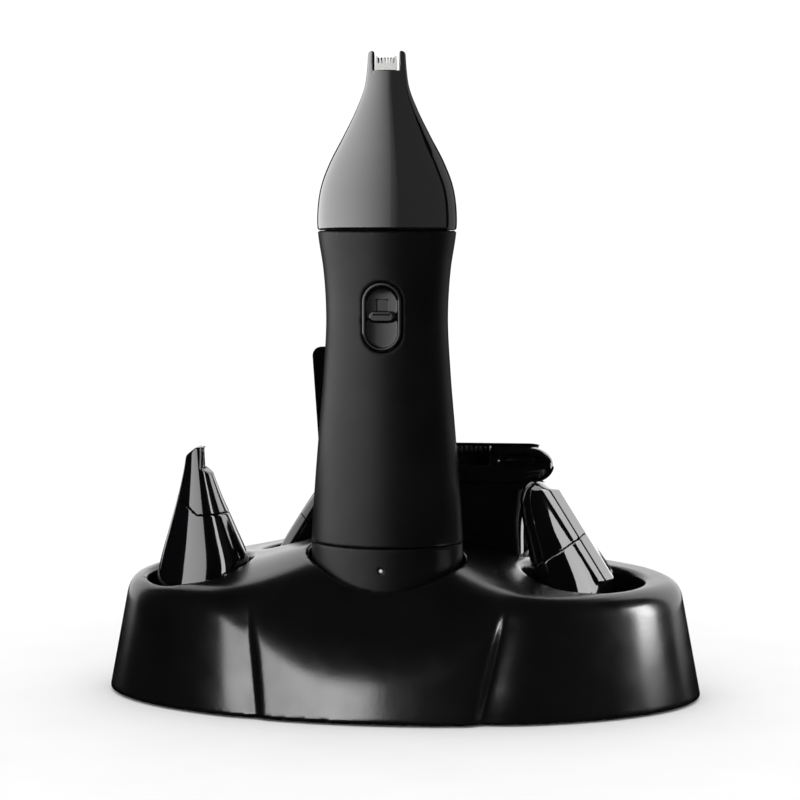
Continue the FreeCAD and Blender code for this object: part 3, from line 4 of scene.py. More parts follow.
import bmesh
import bpy
import numpy as np
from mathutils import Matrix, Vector


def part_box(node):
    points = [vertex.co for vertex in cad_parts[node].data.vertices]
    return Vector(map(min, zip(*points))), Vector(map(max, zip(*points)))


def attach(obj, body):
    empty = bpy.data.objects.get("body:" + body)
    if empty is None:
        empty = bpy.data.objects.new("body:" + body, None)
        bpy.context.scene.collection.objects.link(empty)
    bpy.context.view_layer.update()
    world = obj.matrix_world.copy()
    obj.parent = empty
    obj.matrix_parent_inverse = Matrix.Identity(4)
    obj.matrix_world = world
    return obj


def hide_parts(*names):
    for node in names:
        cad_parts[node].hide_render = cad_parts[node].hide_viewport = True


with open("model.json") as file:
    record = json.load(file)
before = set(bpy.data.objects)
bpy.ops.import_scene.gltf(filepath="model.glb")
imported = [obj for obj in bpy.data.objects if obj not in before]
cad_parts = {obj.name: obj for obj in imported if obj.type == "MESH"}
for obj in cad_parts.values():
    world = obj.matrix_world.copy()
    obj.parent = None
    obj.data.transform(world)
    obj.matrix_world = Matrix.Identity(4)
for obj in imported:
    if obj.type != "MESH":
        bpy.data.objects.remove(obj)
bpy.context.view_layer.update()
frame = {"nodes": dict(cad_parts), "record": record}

# A black grooming set: a trimmer with a fine detail head stands in an oval stand that
# stores four more heads and a comb. Shapes are worked out in millimetres in the CAD
# frame (+Z up, the front faces -Y) and turned into metres when a mesh is made.

MM = 0.001


def node_mm(name):
    """Lowest corner, highest corner and middle of a CAD node, in millimetres."""
    low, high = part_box(name)
    low, high = np.array(low) / MM, np.array(high) / MM
    return low, high, (low + high) / 2


node_boxes = {name: node_mm(name) for name in frame["nodes"]}


# ------------------------------------------------------------------ shape functions
# A field is a function of x, y and z that is negative inside a shape and close to the
# distance from its surface. skin() makes a smooth mesh of the surface where it is zero.

def smooth_max(a, b, width):
    """The larger of two fields, with their edge rounded over a width."""
    blend = np.clip(0.5 - 0.5 * (b - a) / width, 0, 1)
    return b * (1 - blend) + a * blend + width * blend * (1 - blend)


def smooth_min(a, b, width):
    """The smaller of two fields, with their corner filled over a width."""
    return -smooth_max(-a, -b, width)


def fade(low, high, value):
    """0 below low, 1 above high and smooth between."""
    part = np.clip((value - low) / (high - low), 0, 1)
    return part * part * (3 - 2 * part)


def oval_field(x, y, half_x, half_y, power=2.0):
    """Distance to an upright oval wall round the origin; power above 2 squares it up."""
    reach = np.sqrt(x * x + y * y) + 1e-9
    size = (np.abs(x / half_x) ** power + np.abs(y / half_y) ** power) ** (1 / power) + 1e-9
    return reach - reach / size


def box_field(x, y, z, centre, half, corner=0.0):
    """Distance to a block with rounded corners."""
    away = [np.abs(p - c) - h + corner for p, c, h in zip((x, y, z), centre, half)]
    outside = np.sqrt(sum(np.maximum(side, 0) ** 2 for side in away))
    inside = np.minimum(np.maximum(np.maximum(away[0], away[1]), away[2]), 0)
    return outside + inside - corner


def gradient(field, points, step=0.02):
    """Slope of a field at the points."""
    slope = np.empty_like(points)
    for axis in range(3):
        shift = np.zeros(3)
        shift[axis] = step
        ahead = field(*(points + shift).T)
        behind = field(*(points - shift).T)
        slope[:, axis] = (ahead - behind) / (2 * step)
    return slope


def settle(field, points, rounds, limit):
    """Move points onto the surface of a field."""
    for _ in range(rounds):
        slope = gradient(field, points)
        push = field(*points.T) / np.maximum((slope * slope).sum(1), 1e-6)
        push = np.clip(push, -limit, limit)
        points = points - slope * push[:, None]
    return points


def skin(name, field, low, high, step):
    """A quad mesh of the surface of a field inside a box, every point on the surface.

    Each grid cell that the surface crosses gives one point, and each grid edge that it
    crosses gives the quad between the four cells round that edge.
    """
    axes = [np.arange(a - 2 * step, b + 3 * step, step) for a, b in zip(low, high)]
    grid = np.meshgrid(*axes, indexing="ij")
    inside = field(*grid) < 0
    shape = np.array(inside.shape)
    count = sum(inside[i:shape[0] - 1 + i, j:shape[1] - 1 + j, k:shape[2] - 1 + k].astype(np.int8)
                for i in (0, 1) for j in (0, 1) for k in (0, 1))
    cells = np.argwhere((count > 0) & (count < 8))
    number = np.full(count.shape, -1, dtype=np.int64)
    number[tuple(cells.T)] = np.arange(len(cells))
    origin = np.array([axis[0] for axis in axes])
    points = origin + (cells + 0.5) * step
    faces = []
    for axis in range(3):
        side_a, side_b = (axis + 1) % 3, (axis + 2) % 3
        first = [slice(1, -1)] * 3
        first[axis] = slice(0, -1)
        second = list(first)
        second[axis] = slice(1, None)
        start, end = inside[tuple(first)], inside[tuple(second)]
        for rising in (True, False):
            hits = np.argwhere((start & ~end) if rising else (end & ~start))
            hits[:, side_a] += 1
            hits[:, side_b] += 1
            ring = []
            for back_a, back_b in ((1, 1), (0, 1), (0, 0), (1, 0)):
                cell = hits.copy()
                cell[:, side_a] -= back_a
                cell[:, side_b] -= back_b
                ring.append(number[tuple(cell.T)])
            quad = np.stack(ring, 1)
            faces.append(quad if rising else quad[:, ::-1])
    faces = np.concatenate(faces)
    points = settle(field, points, 4, step)
    points = relax(points, faces, 2)
    points = settle(field, points, 4, step / 2)
    return make_object(name, points, faces.tolist())


def relax(points, faces, rounds):
    """Even out the spacing of the points along the surface."""
    for _ in range(rounds):
        total = np.zeros_like(points)
        share = np.zeros(len(points))
        for corner in range(4):
            here, there = faces[:, corner], faces[:, (corner + 1) % 4]
            for a, b in ((here, there), (there, here)):
                for axis in range(3):
                    total[:, axis] += np.bincount(a, points[b, axis], len(points))
                share += np.bincount(a, minlength=len(points))
        points = 0.5 * points + 0.5 * total / np.maximum(share, 1)[:, None]
    return points


def make_object(name, points, faces, smooth=True):
    """A mesh object from points in millimetres."""
    mesh = bpy.data.meshes.new(name)
    mesh.from_pydata([tuple(p) for p in np.asarray(points) * MM], [], faces)
    mesh.validate()
    mesh.update()
    if smooth:
        mesh.polygons.foreach_set("use_smooth", [True] * len(mesh.polygons))
    piece = bpy.data.objects.new(name, mesh)
    bpy.context.scene.collection.objects.link(piece)
    return piece


def curve_through(rows, levels):
    """Smooth values between the rows of (level, value, ...), at each of the levels."""
    rows = np.array(rows, float)
    knots = rows[:, 0]
    slopes = np.gradient(rows[:, 1:], knots, axis=0)
    place = np.clip(np.searchsorted(knots, levels, side="right") - 1, 0, len(knots) - 2)
    span = (knots[place + 1] - knots[place])[:, None]
    t = (np.asarray(levels) - knots[place])[:, None] / span
    a, b = rows[place, 1:], rows[place + 1, 1:]
    sa, sb = slopes[place] * span, slopes[place + 1] * span
    values = (2 * t**3 - 3 * t**2 + 1) * a + (t**3 - 2 * t**2 + t) * sa
    return values + (3 * t**2 - 2 * t**3) * b + (t**3 - t**2) * sb


def outline_table(rows):
    """A function of z that gives shift, width and depth from rows of (level, shift, width, depth)."""
    spacing = 0.05
    levels = np.arange(rows[0][0], rows[-1][0] + spacing, spacing)
    table = curve_through(rows, levels)

    def at(z):
        return [np.interp(z, levels, column) for column in table.T]
    return at


def ring_field(x, y, z, centre, outline, inset=0.0, power=2.0):
    """Distance to the oval body that an outline table describes."""
    shift, wide, deep = outline(z)
    return oval_field(x - centre[0] - shift, y - centre[1], wide / 2 - inset, deep / 2 - inset, power)


def stadium_field(x, z, half_long, radius, across=False):
    """Distance to a flat bar with round ends, upright unless across is set."""
    long_way, short_way = (x, z) if across else (z, x)
    past_end = np.maximum(np.abs(long_way) - (half_long - radius), 0)
    return np.sqrt(past_end ** 2 + short_way ** 2) - radius


def plate_piece(name, outline, front, thick, bevel):
    """A flat piece from an outline in the front view, with softened edges."""
    mesh = bpy.data.meshes.new(name)
    plate = bmesh.new()
    ring = [plate.verts.new((x * MM, front * MM, z * MM)) for x, z in outline]
    face = plate.faces.new(ring)
    grown = bmesh.ops.extrude_face_region(plate, geom=[face])
    moved = [item for item in grown["geom"] if isinstance(item, bmesh.types.BMVert)]
    bmesh.ops.translate(plate, verts=moved, vec=(0, thick * MM, 0))
    bmesh.ops.recalc_face_normals(plate, faces=plate.faces[:])
    sharp = [edge for edge in plate.edges if edge.calc_face_angle(0) > 0.6]
    bmesh.ops.bevel(plate, geom=sharp, offset=bevel * MM, segments=2, affect="EDGES", clamp_overlap=True)
    plate.to_mesh(mesh)
    plate.free()
    piece = bpy.data.objects.new(name, mesh)
    bpy.context.scene.collection.objects.link(piece)
    return piece


# ------------------------------------------------------------------ materials

def new_material(name):
    """A material with its shader, its node tree and a coordinate source in metres."""
    material = bpy.data.materials.new(name)
    material.use_nodes = True
    tree = material.node_tree
    shader = tree.nodes["Principled BSDF"]
    place = tree.nodes.new("ShaderNodeTexCoord")
    return material, tree, shader, place


def noise(tree, place, scale, detail=3.0):
    """Noise whose scale is in features per metre."""
    node = tree.nodes.new("ShaderNodeTexNoise")
    node.inputs["Scale"].default_value = scale
    node.inputs["Detail"].default_value = detail
    tree.links.new(place.outputs["Object"], node.inputs["Vector"])
    return node


def ramp(tree, source, stops):
    """A colour ramp on a value: stops of (position, colour)."""
    node = tree.nodes.new("ShaderNodeValToRGB")
    for element, (position, colour) in zip(node.color_ramp.elements, stops):
        element.position = position
        element.color = (*colour, 1)
    tree.links.new(source, node.inputs["Fac"])
    return node


def add_bump(tree, shader, sources, depth):
    """Chain bumps from several height sources into the shader: (output, strength)."""
    last = None
    for source, strength in sources:
        bump = tree.nodes.new("ShaderNodeBump")
        bump.inputs["Strength"].default_value = strength
        bump.inputs["Distance"].default_value = depth
        tree.links.new(source, bump.inputs["Height"])
        if last:
            tree.links.new(last.outputs["Normal"], bump.inputs["Normal"])
        last = bump
    tree.links.new(last.outputs["Normal"], shader.inputs["Normal"])


def moulded(name, dark, light, smooth, rough, grain=2500, grain_strength=0.05, depth=0.00005, specular=0.5):
    """Moulded plastic: a slight colour drift, uneven sheen and a fine grain."""
    cloud_scale, smudge_scale = 60, 140
    material, tree, shader, place = new_material(name)
    cloud = noise(tree, place, cloud_scale)
    tint = ramp(tree, cloud.outputs["Fac"], ((0.3, dark), (0.7, light)))
    tree.links.new(tint.outputs["Color"], shader.inputs["Base Color"])
    smudge = noise(tree, place, smudge_scale, 5)
    sheen = tree.nodes.new("ShaderNodeMapRange")
    sheen.inputs["From Min"].default_value = 0.3
    sheen.inputs["From Max"].default_value = 0.7
    sheen.inputs["To Min"].default_value = smooth
    sheen.inputs["To Max"].default_value = rough
    tree.links.new(smudge.outputs["Fac"], sheen.inputs["Value"])
    tree.links.new(sheen.outputs["Result"], shader.inputs["Roughness"])
    if grain_strength:
        fine = noise(tree, place, grain, 2)
        add_bump(tree, shader, ((fine.outputs["Fac"], grain_strength),), depth)
    shader.inputs["Specular IOR Level"].default_value = specular
    return material


def metal(name, dark, light, smooth, rough, stretch=(1, 1, 40), scale=900):
    """Metal with grinding lines; a large stretch on an axis packs them close along it."""
    line_strength, line_depth = 0.15, 0.00003
    material, tree, shader, place = new_material(name)
    squeeze = tree.nodes.new("ShaderNodeMapping")
    squeeze.inputs["Scale"].default_value = stretch
    tree.links.new(place.outputs["Object"], squeeze.inputs["Vector"])
    lines = tree.nodes.new("ShaderNodeTexNoise")
    lines.inputs["Scale"].default_value = scale
    tree.links.new(squeeze.outputs["Vector"], lines.inputs["Vector"])
    tint = ramp(tree, lines.outputs["Fac"], ((0.3, dark), (0.7, light)))
    tree.links.new(tint.outputs["Color"], shader.inputs["Base Color"])
    sheen = tree.nodes.new("ShaderNodeMapRange")
    sheen.inputs["To Min"].default_value = smooth
    sheen.inputs["To Max"].default_value = rough
    tree.links.new(lines.outputs["Fac"], sheen.inputs["Value"])
    tree.links.new(sheen.outputs["Result"], shader.inputs["Roughness"])
    add_bump(tree, shader, ((lines.outputs["Fac"], line_strength),), line_depth)
    shader.inputs["Metallic"].default_value = 1.0
    return material


# Each look: darkest and lightest colour, then least and greatest roughness.
looks = {
    "stand_black": moulded("stand_plastic", (0.0025, 0.0025, 0.003), (0.004, 0.004, 0.0045), 0.19, 0.25,
                           grain=1500, grain_strength=0.2, specular=0.8),
    "soft_touch_black": moulded("soft_touch", (0.002, 0.002, 0.002), (0.0035, 0.0035, 0.0035), 0.4, 0.46,
                                grain=5000, grain_strength=0.12),
    "gloss_black": moulded("gloss_plastic", (0.002, 0.002, 0.0025), (0.003, 0.003, 0.0035), 0.05, 0.09,
                           grain=300, grain_strength=0.01, specular=0.6),
    "matte_black": moulded("matte_plastic", (0.02, 0.02, 0.02), (0.03, 0.03, 0.03), 0.5, 0.6),
    "white_moulding": moulded("acetal", (0.7, 0.69, 0.65), (0.8, 0.79, 0.75), 0.35, 0.45,
                              grain_strength=0.08),
    "clear_lens": moulded("lens", (0.5, 0.5, 0.5), (0.6, 0.6, 0.6), 0.08, 0.12, grain_strength=0),
    "circuit_board": moulded("solder_mask", (0.02, 0.16, 0.06), (0.03, 0.22, 0.08), 0.3, 0.4),
    "cell_wrap": moulded("shrink_sleeve", (0.05, 0.24, 0.12), (0.08, 0.3, 0.16), 0.25, 0.35),
    "foot_rubber": moulded("foot_rubber", (0.02, 0.02, 0.02), (0.035, 0.035, 0.035), 0.7, 0.85,
                           grain_strength=0.3),
    "blade_steel": metal("blade_steel", (0.5, 0.5, 0.49), (0.68, 0.68, 0.66), 0.22, 0.36, (1, 1, 30)),
    "motor_steel": metal("motor_steel", (0.4, 0.4, 0.4), (0.55, 0.55, 0.55), 0.3, 0.4, (1, 1, 0.05)),
    "screw_steel": metal("screw_steel", (0.4, 0.4, 0.41), (0.5, 0.5, 0.51), 0.25, 0.35, (1, 1, 1)),
    "plated_contact": metal("plated_contact", (0.7, 0.7, 0.68), (0.82, 0.82, 0.8), 0.12, 0.2, (1, 1, 1)),
    "brass_parts": metal("brass", (0.6, 0.42, 0.18), (0.75, 0.56, 0.28), 0.25, 0.35, (1, 1, 1)),
}
head_gloss = moulded("head_gloss", (0.002, 0.002, 0.0025), (0.003, 0.003, 0.0035), 0.04, 0.07, grain=300,
                     grain_strength=0.01, specular=1.3)
slot_of = {part["node"]: part["material_slot"] for part in frame["record"]["subparts"]}
for name, obj in frame["nodes"].items():
    obj.data.materials.clear()
    obj.data.materials.append(looks[slot_of[name]])


pieces = {}


def finish_piece(piece, body, slot, replaced=(), look=None):
    """Give a piece its material (the look of its record slot unless another look is given), hang it on its
    body and hide the CAD nodes that it stands for.
    """
    pieces[piece.name] = piece
    piece.data.materials.clear()
    piece.data.materials.append(look or looks[slot])
    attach(piece, body)
    if replaced:
        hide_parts(*replaced)
    return piece


# ------------------------------------------------------------------ camera, lights and floor

def make_camera():
    """A long lens a little to the right of the front and above the handle's middle."""
    azimuth, away, height, aim = math.radians(6), 520, 120, 74
    aside, lens, sensor = -0.6, 93.6, 36
    data = bpy.data.cameras.new("camera")
    data.sensor_width = sensor
    data.lens = lens
    data.clip_start = 0.05
    data.clip_end = 20
    camera = bpy.data.objects.new("camera", data)
    bpy.context.scene.collection.objects.link(camera)
    spot = Vector((away * math.sin(azimuth) + aside, -away * math.cos(azimuth), height)) * MM
    camera.location = spot
    camera.rotation_euler = (Vector((aside, 0, aim)) * MM - spot).to_track_quat("-Z", "Y").to_euler()
    bpy.context.scene.camera = camera


def make_floor():
    """A pale sweep: a floor that rises in a curve behind the object."""
    radius, half_width, front, back, tall, steps = 900, 4000, -1500, 1200, 4000, 12
    grain_scale, dark, light, rough = 40, (0.93, 0.93, 0.93), (0.95, 0.95, 0.95), 0.9
    profile = [(front, 0.0)]
    for step in range(steps + 1):
        angle = math.pi / 2 * step / steps
        profile.append((back + radius * math.sin(angle), radius * (1 - math.cos(angle))))
    profile.append((back + radius, tall))
    points = [(x, y, z) for y, z in profile for x in (-half_width, half_width)]
    faces = [(2 * i, 2 * i + 1, 2 * i + 3, 2 * i + 2) for i in range(len(profile) - 1)]
    floor = make_object("floor", points, faces)
    material, tree, shader, place = new_material("pale_floor")
    grain = noise(tree, place, grain_scale, 2)
    tint = ramp(tree, grain.outputs["Fac"], ((0.3, dark), (0.7, light)))
    tree.links.new(tint.outputs["Color"], shader.inputs["Base Color"])
    shader.inputs["Roughness"].default_value = rough
    shader.inputs["Specular IOR Level"].default_value = 0.0
    floor.data.materials.append(material)
    floor.visible_glossy = False


LEAN_REACH = 500


def light_wall(name, radius, azimuths, levels, glow_left, glow_right, lit, lean):
    """A curved glowing panel round the object that lights only some pieces.

    Azimuths run from the front, right is positive. The glow fades from one value at the
    panel's leftmost place to another at its rightmost. A lean of 1 brings the panel in by
    its whole radius over LEAN_REACH of height.
    """
    steps = 24
    points = []
    for step in range(steps + 1):
        angle = math.radians(azimuths[0] + (azimuths[1] - azimuths[0]) * step / steps)
        for level in levels:
            reach = radius * (1 - lean * (level - levels[0]) / LEAN_REACH)
            points.append((reach * math.sin(angle), -reach * math.cos(angle), level))
    faces = [(2 * i, 2 * i + 1, 2 * i + 3, 2 * i + 2) for i in range(steps)]
    panel = make_object(name, points, faces)
    material, tree, shader, place = new_material(name)
    glowing = tree.nodes.new("ShaderNodeEmission")
    clear = tree.nodes.new("ShaderNodeBsdfTransparent")
    both = tree.nodes.new("ShaderNodeAddShader")
    tree.links.new(glowing.outputs["Emission"], both.inputs[0])
    tree.links.new(clear.outputs["BSDF"], both.inputs[1])
    ending = next(node for node in tree.nodes if node.type == "OUTPUT_MATERIAL")
    tree.links.new(both.outputs["Shader"], ending.inputs["Surface"])
    tree.nodes.remove(shader)
    side = tree.nodes.new("ShaderNodeSeparateXYZ")
    tree.links.new(place.outputs["Object"], side.inputs["Vector"])
    across = [x for x, y, z in points]
    glow = tree.nodes.new("ShaderNodeMapRange")
    glow.inputs["From Min"].default_value = min(across) * MM
    glow.inputs["From Max"].default_value = max(across) * MM
    glow.inputs["To Min"].default_value = glow_left
    glow.inputs["To Max"].default_value = glow_right
    tree.links.new(side.outputs["X"], glow.inputs["Value"])
    tree.links.new(glow.outputs["Result"], glowing.inputs["Strength"])
    panel.data.materials.append(material)
    panel.visible_camera = False
    panel.visible_shadow = False
    panel.visible_diffuse = False
    receivers = bpy.data.collections.new(name + "_lit")
    for piece in lit:
        receivers.objects.link(piece)
    panel.light_linking.receiver_collection = receivers


def pieces_called(*starts):
    """The visible pieces whose names start in one of these ways."""
    return [piece for name, piece in pieces.items() if name.startswith(starts)]


def make_light():
    """A white surround for the floor, and glowing panels that each serve some pieces."""
    white, strength = (1, 1, 1, 1), 1.12
    scene = bpy.context.scene
    scene.view_settings.view_transform = "Standard"
    world = bpy.data.worlds.new("studio")
    scene.world = world
    world.use_nodes = True
    surround = world.node_tree.nodes["Background"]
    surround.inputs["Color"].default_value = white
    surround.inputs["Strength"].default_value = strength
    world.cycles_visibility.glossy = False
    fitted = pieces_called("head", "fixed", "bezel", "slider", "indicator")
    grip = [pieces["sleeve_body"], pieces["cap_body"]]
    stand = [pieces["stand_body"]]
    nose = pieces_called("nose")
    others = pieces_called("shaver", "clipper", "wedge", "comb")
    lean_head = pieces_called("shaver")
    clipper_head = pieces_called("clipper")
    high, full, stored = (60, 560), (0, 1000), (20, 420)
    # Name, radius, azimuths, heights, glow at the left and the right, pieces lit, lean.
    panels = (
        ("left_wall", 260, (5, -140), high, 3.3, 0.6, fitted, 0.35),
        ("left_edge", 260, (14, 5), high, 0.5, 0.16, fitted, 0.35),
        ("right_glow", 260, (14, 100), high, 0.16, 0.16, fitted, 0.35),
        ("grip_wall", 260, (-8, -118), (-60, 300), 1.8, 0.75, grip, 0),
        ("grip_rim", 260, (110, 150), (0, 300), 0.3, 0.3, grip + [pieces["head_body"]], 0),
        ("stand_left", 260, (-9, -44), (2, 78), 4.6, 7.6, stand, 0),
        ("stand_right", 300, (73, 87), (34, 150), 15.0, 15.0, stand, 0),
        ("stand_back", 600, (110, 250), full, 1.3, 1.6, stand, 0),
        ("nose_front", 300, (-52, 8), (40, 420), 6.0, 4.6, nose, 0),
        ("edge_left", 300, (-128, -175), stored, 1.2, 1.2, nose + others, 0),
        ("edge_right", 300, (54, 70), stored, 9.0, 9.0, nose, 0),
        ("chamfer_glow", 300, (40, 80), stored, 9.0, 9.0, lean_head, 0),
        ("side_right", 300, (104, 172), stored, 2.4, 5.4, nose + others, 0),
        ("clipper_edge", 300, (84, 102), (-10, 90), 9.0, 9.0, clipper_head, 0),
        ("lean_streak", 300, (-58, -80), stored, 9.0, 9.0, lean_head, 0),
        ("lean_crown", 300, (-90, 90), (300, 700), 5.0, 5.0, lean_head, 1.0),
        ("side_left", 300, (-94, -134), stored, 1.4, 1.4, others, 0),
    )
    for panel in panels:
        light_wall(*panel)


make_camera()
make_floor()


# ------------------------------------------------------------------ stand

STAND_LOW = node_boxes["stand_shell"][0][2]
STAND_HALF, STAND_DRAFT = (75, 39.4), 0.19
# Creases: side, place at the top and at the foot, spread and depth.
CREASES = ((-1, -35.1, -31.6, 4.0, 1.3), (1, 28.6, 22.6, 5.5, 2.3))
CREASE_TALL, CREASE_EDGE = 27, 1.6
# Each pair is where a fade starts and ends: heights over the foot, or places front to back.
CREASE_GROWS, CREASE_ENDS, CREASE_FRONT = (-10, 8), (30, 22), (12, 4)
HUMP_FRONT, HUMP_REAR, ROUND_FRONT, TOP_ENDS = (-40, -6), (0, 24), (6, -10), (60, 76)
TOP_LEVEL, TOP_SLOPE, END_DROP = 29.7, 0.05, 1.0
HUMP_RISE, HUMP_X, HUMP_SPREAD, HUMP_LOSS = 11.3, -6, 33, 0.4
FRONT_X, FRONT_SPREAD = -4, 29
EDGE_ROUND, FRONT_ROUND, MIDDLE_ROUND = 3.2, 2, 16
WELL_WALL, WELL_FLOOR, WELL_EDGE, COMB_WELL_HALF = 1.4, 2, 1.5, 30
SHELL_HALF, SHELL_ROOF = (72, 35), 24
INLET_LEVEL, INLET_REACH, INLET_FRONT = 10, 3.2, 25
well_names = ("handle_well", "left_well", "right_well", "rear_right_well", "rear_left_well", "comb_well")
wells = {}
for name in well_names:
    low, high, middle = node_boxes[name]
    wells[name] = (middle[:2], (high - low)[:2] / 2 - WELL_WALL, low[2] + WELL_FLOOR)


def stand_field(x, y, z):
    """The stand: a drafted oval with a waterfall front, two creases, a humped top and its wells."""
    rise = z - STAND_LOW
    draft = STAND_DRAFT * rise
    centre_weight = np.exp(-(((x - FRONT_X) / FRONT_SPREAD) ** 2) ** 1.6)
    wall = oval_field(x, y, STAND_HALF[0] - draft, STAND_HALF[1] - draft)
    in_front = fade(*CREASE_FRONT, y)
    for side, top_x, foot_x, spread, deep in CREASES:
        crease = foot_x + (top_x - foot_x) * rise / CREASE_TALL
        outward = (x - crease) * side
        soft_side = np.exp(-np.abs(outward / spread) ** 1.5)
        sharp_side = np.exp(-(outward / CREASE_EDGE) ** 2)
        groove = np.where(outward > 0, soft_side, sharp_side)
        wall = wall + deep * fade(*CREASE_GROWS, rise) * groove * in_front * fade(*CREASE_ENDS, rise)
    hump = HUMP_RISE * np.exp(-((x - HUMP_X) / HUMP_SPREAD) ** 2) * (1 - HUMP_LOSS * fade(*HUMP_REAR, y))
    top = TOP_LEVEL + hump * fade(*HUMP_FRONT, y) + TOP_SLOPE * y - END_DROP * fade(*TOP_ENDS, np.abs(x))
    rounding = EDGE_ROUND + (FRONT_ROUND + MIDDLE_ROUND * centre_weight) * fade(*ROUND_FRONT, y)
    solid = smooth_max(wall, z - top, rounding)
    for name, (centre, half, floor) in wells.items():
        if name == "comb_well":
            hollow = box_field(x, y, z, (*centre, floor + COMB_WELL_HALF), (*half, COMB_WELL_HALF), 0.6)
        else:
            hollow = smooth_max(oval_field(x - centre[0], y - centre[1], *half), floor - z, 1.2)
        solid = smooth_max(solid, -hollow, WELL_EDGE)
    return smooth_max(solid, STAND_LOW - z, 0.8)


def stand_shell_field(x, y, z):
    """The stand with the inlet and the space under its shell, round the outsides of the wells."""
    draft = STAND_DRAFT * (z - STAND_LOW)
    inner = smooth_max(oval_field(x, y, SHELL_HALF[0] - draft, SHELL_HALF[1] - draft), z - SHELL_ROOF, 5)
    for name, (centre, half, floor) in wells.items():
        around = oval_field(x - centre[0], y - centre[1], half[0] + WELL_WALL, half[1] + WELL_WALL)
        if name == "comb_well":
            around = box_field(x, y, z, (*centre, 30), (half[0] + WELL_WALL, half[1] + WELL_WALL, 40))
        inner = np.maximum(inner, -np.maximum(around, floor - WELL_FLOOR - z))
    inlet = np.maximum(np.sqrt(x ** 2 + (z - INLET_LEVEL) ** 2) - INLET_REACH, INLET_FRONT - y)
    return smooth_max(stand_field(x, y, z), -np.minimum(inner, inlet), 0.5)


stand = skin("stand_body", stand_shell_field, (-75, -40, 0.5), (75, 40, 40), 0.7)
finish_piece(stand, "stand", "stand_black", ("stand_shell", *well_names))


# ------------------------------------------------------------------ handle

GRIP = node_boxes["motor_shaft"][2][:2]
SEAM, JOINT, JOINT_GAP = 40.0, 116.5, 0.06
SLEEVE_WALL = 1.6
sleeve_outline = outline_table(((39, 0, 37.55, 28.55), (40, 0, 37.5, 28.5), (46, 0, 36.9, 28.0),
                                (55, 0, 35.7, 27.1), (68, 0, 33.6, 25.6), (82, 0, 31.3, 23.8),
                                (96, 0, 30.0, 22.8), (107, 0, 31.3, 23.8), (116.5, 0, 34.0, 26.0),
                                (118, 0, 34.2, 26.2)))
cap_outline = outline_table(((8, 0, 37.0, 28.0), (20, 0, 37.4, 28.4), (40, 0, 37.5, 28.5),
                             (41, 0, 37.5, 28.5)))
CAP_FOOT, CAP_FLOOR, CAP_FOOT_ROUND = 9.0, 11.2, 2.6
LIGHT_LEVEL, LIGHT_HOLE, LIGHT_DOME, LIGHT_STEM = 34.6, 0.55, 0.48, 0.42
CONTACT_APART, CONTACT_HOLE, CONTACT_TOP = 7, 2.0, 12
SWITCH = 95.8
# Each stadium: half its long side and its radius.
SWITCH_HOLE, BEZEL_RIM, BEZEL_WELL = (8.4, 4.8), (8.3, 4.75), (7.45, 3.9)
BEZEL_FRONT, BEZEL_BACK, DISH_DEEP = -21.95, -19.6, 1.45
DISH_ACROSS, DISH_UP = 0.035, 0.006
BAR_SIZE, BAR_FRONT, BAR_HALF_THICK = (3.2, 1.4), -21.35, 0.75
# Blocks of the switch: middle from the switch's middle (across, depth, up), then half sizes.
NECK_SLOT = ((0, -20, 1.4), (1.35, 2, 2.7))
BAR_GROOVE = ((0.1, -22.1, 0.62), (2.1, 0.5, 0.14))
BAR_NECK = ((0, -20.1, 0), (1.2, 0.8, 1.0))
BAR_KEEPER = ((0, -19.15, 0.2), (2.7, 0.35, 4.5))


def sleeve_field(x, y, z):
    """The handle's soft-touch sleeve, open at both ends, with the hole for the switch."""
    outside = ring_field(x, y, z, GRIP, sleeve_outline)
    inside = ring_field(x, y, z, GRIP, sleeve_outline, SLEEVE_WALL)
    ends = np.maximum(SEAM - z, z - JOINT + JOINT_GAP)
    wall = smooth_max(smooth_max(outside, ends, 0.1), -inside, 0.3)
    hole = np.maximum(stadium_field(x - GRIP[0], z - SWITCH, *SWITCH_HOLE), y - GRIP[1])
    return smooth_max(wall, -hole, 0.8)


def cap_field(x, y, z):
    """The bottom cap: a cup with a rounded foot, a pinhole for the indicator and two contact holes."""
    outside = ring_field(x, y, z, GRIP, cap_outline)
    body = smooth_max(smooth_max(outside, CAP_FOOT - z, CAP_FOOT_ROUND), z - SEAM, 0.04)
    inside = smooth_max(ring_field(x, y, z, GRIP, cap_outline, SLEEVE_WALL), CAP_FLOOR - z, 1.5)
    solid = smooth_max(body, -inside, 0.3)
    around = np.sqrt((x - GRIP[0]) ** 2 + (z - LIGHT_LEVEL) ** 2)
    solid = smooth_max(solid, -np.maximum(around - LIGHT_HOLE, y - GRIP[1]), 0.25)
    for side in (-1, 1):
        reach = np.sqrt((x - GRIP[0] - CONTACT_APART * side) ** 2 + (y - GRIP[1]) ** 2) - CONTACT_HOLE
        solid = np.maximum(solid, -np.maximum(reach, z - CONTACT_TOP))
    return solid


sleeve = skin("sleeve_body", sleeve_field, (-22, -25, 40), (17, 5, 116.5), 0.55)
finish_piece(sleeve, "handle", "soft_touch_black", ("handle_sleeve",))
cap = skin("cap_body", cap_field, (-22, -25, 9), (17, 5, 40), 0.5)
finish_piece(cap, "handle", "soft_touch_black", ("bottom_cap",))


def lens_field(x, y, z):
    """The tiny dome of the charge indicator and its stem."""
    front = GRIP[1] - 14.2
    across, up = x - GRIP[0], z - LIGHT_LEVEL
    dome = np.sqrt(across ** 2 + (y - front - 0.25) ** 2 + up ** 2) - LIGHT_DOME
    stem = np.maximum(np.sqrt(across ** 2 + up ** 2) - LIGHT_STEM, np.abs(y - front - 1.4) - 1.2)
    return smooth_min(dome, stem, 0.1)


lens = skin("indicator_dome", lens_field, (-4, -25, 33.5), (-1.5, -21, 35.8), 0.12)
finish_piece(lens, "handle", "clear_lens", ("indicator_lens",))


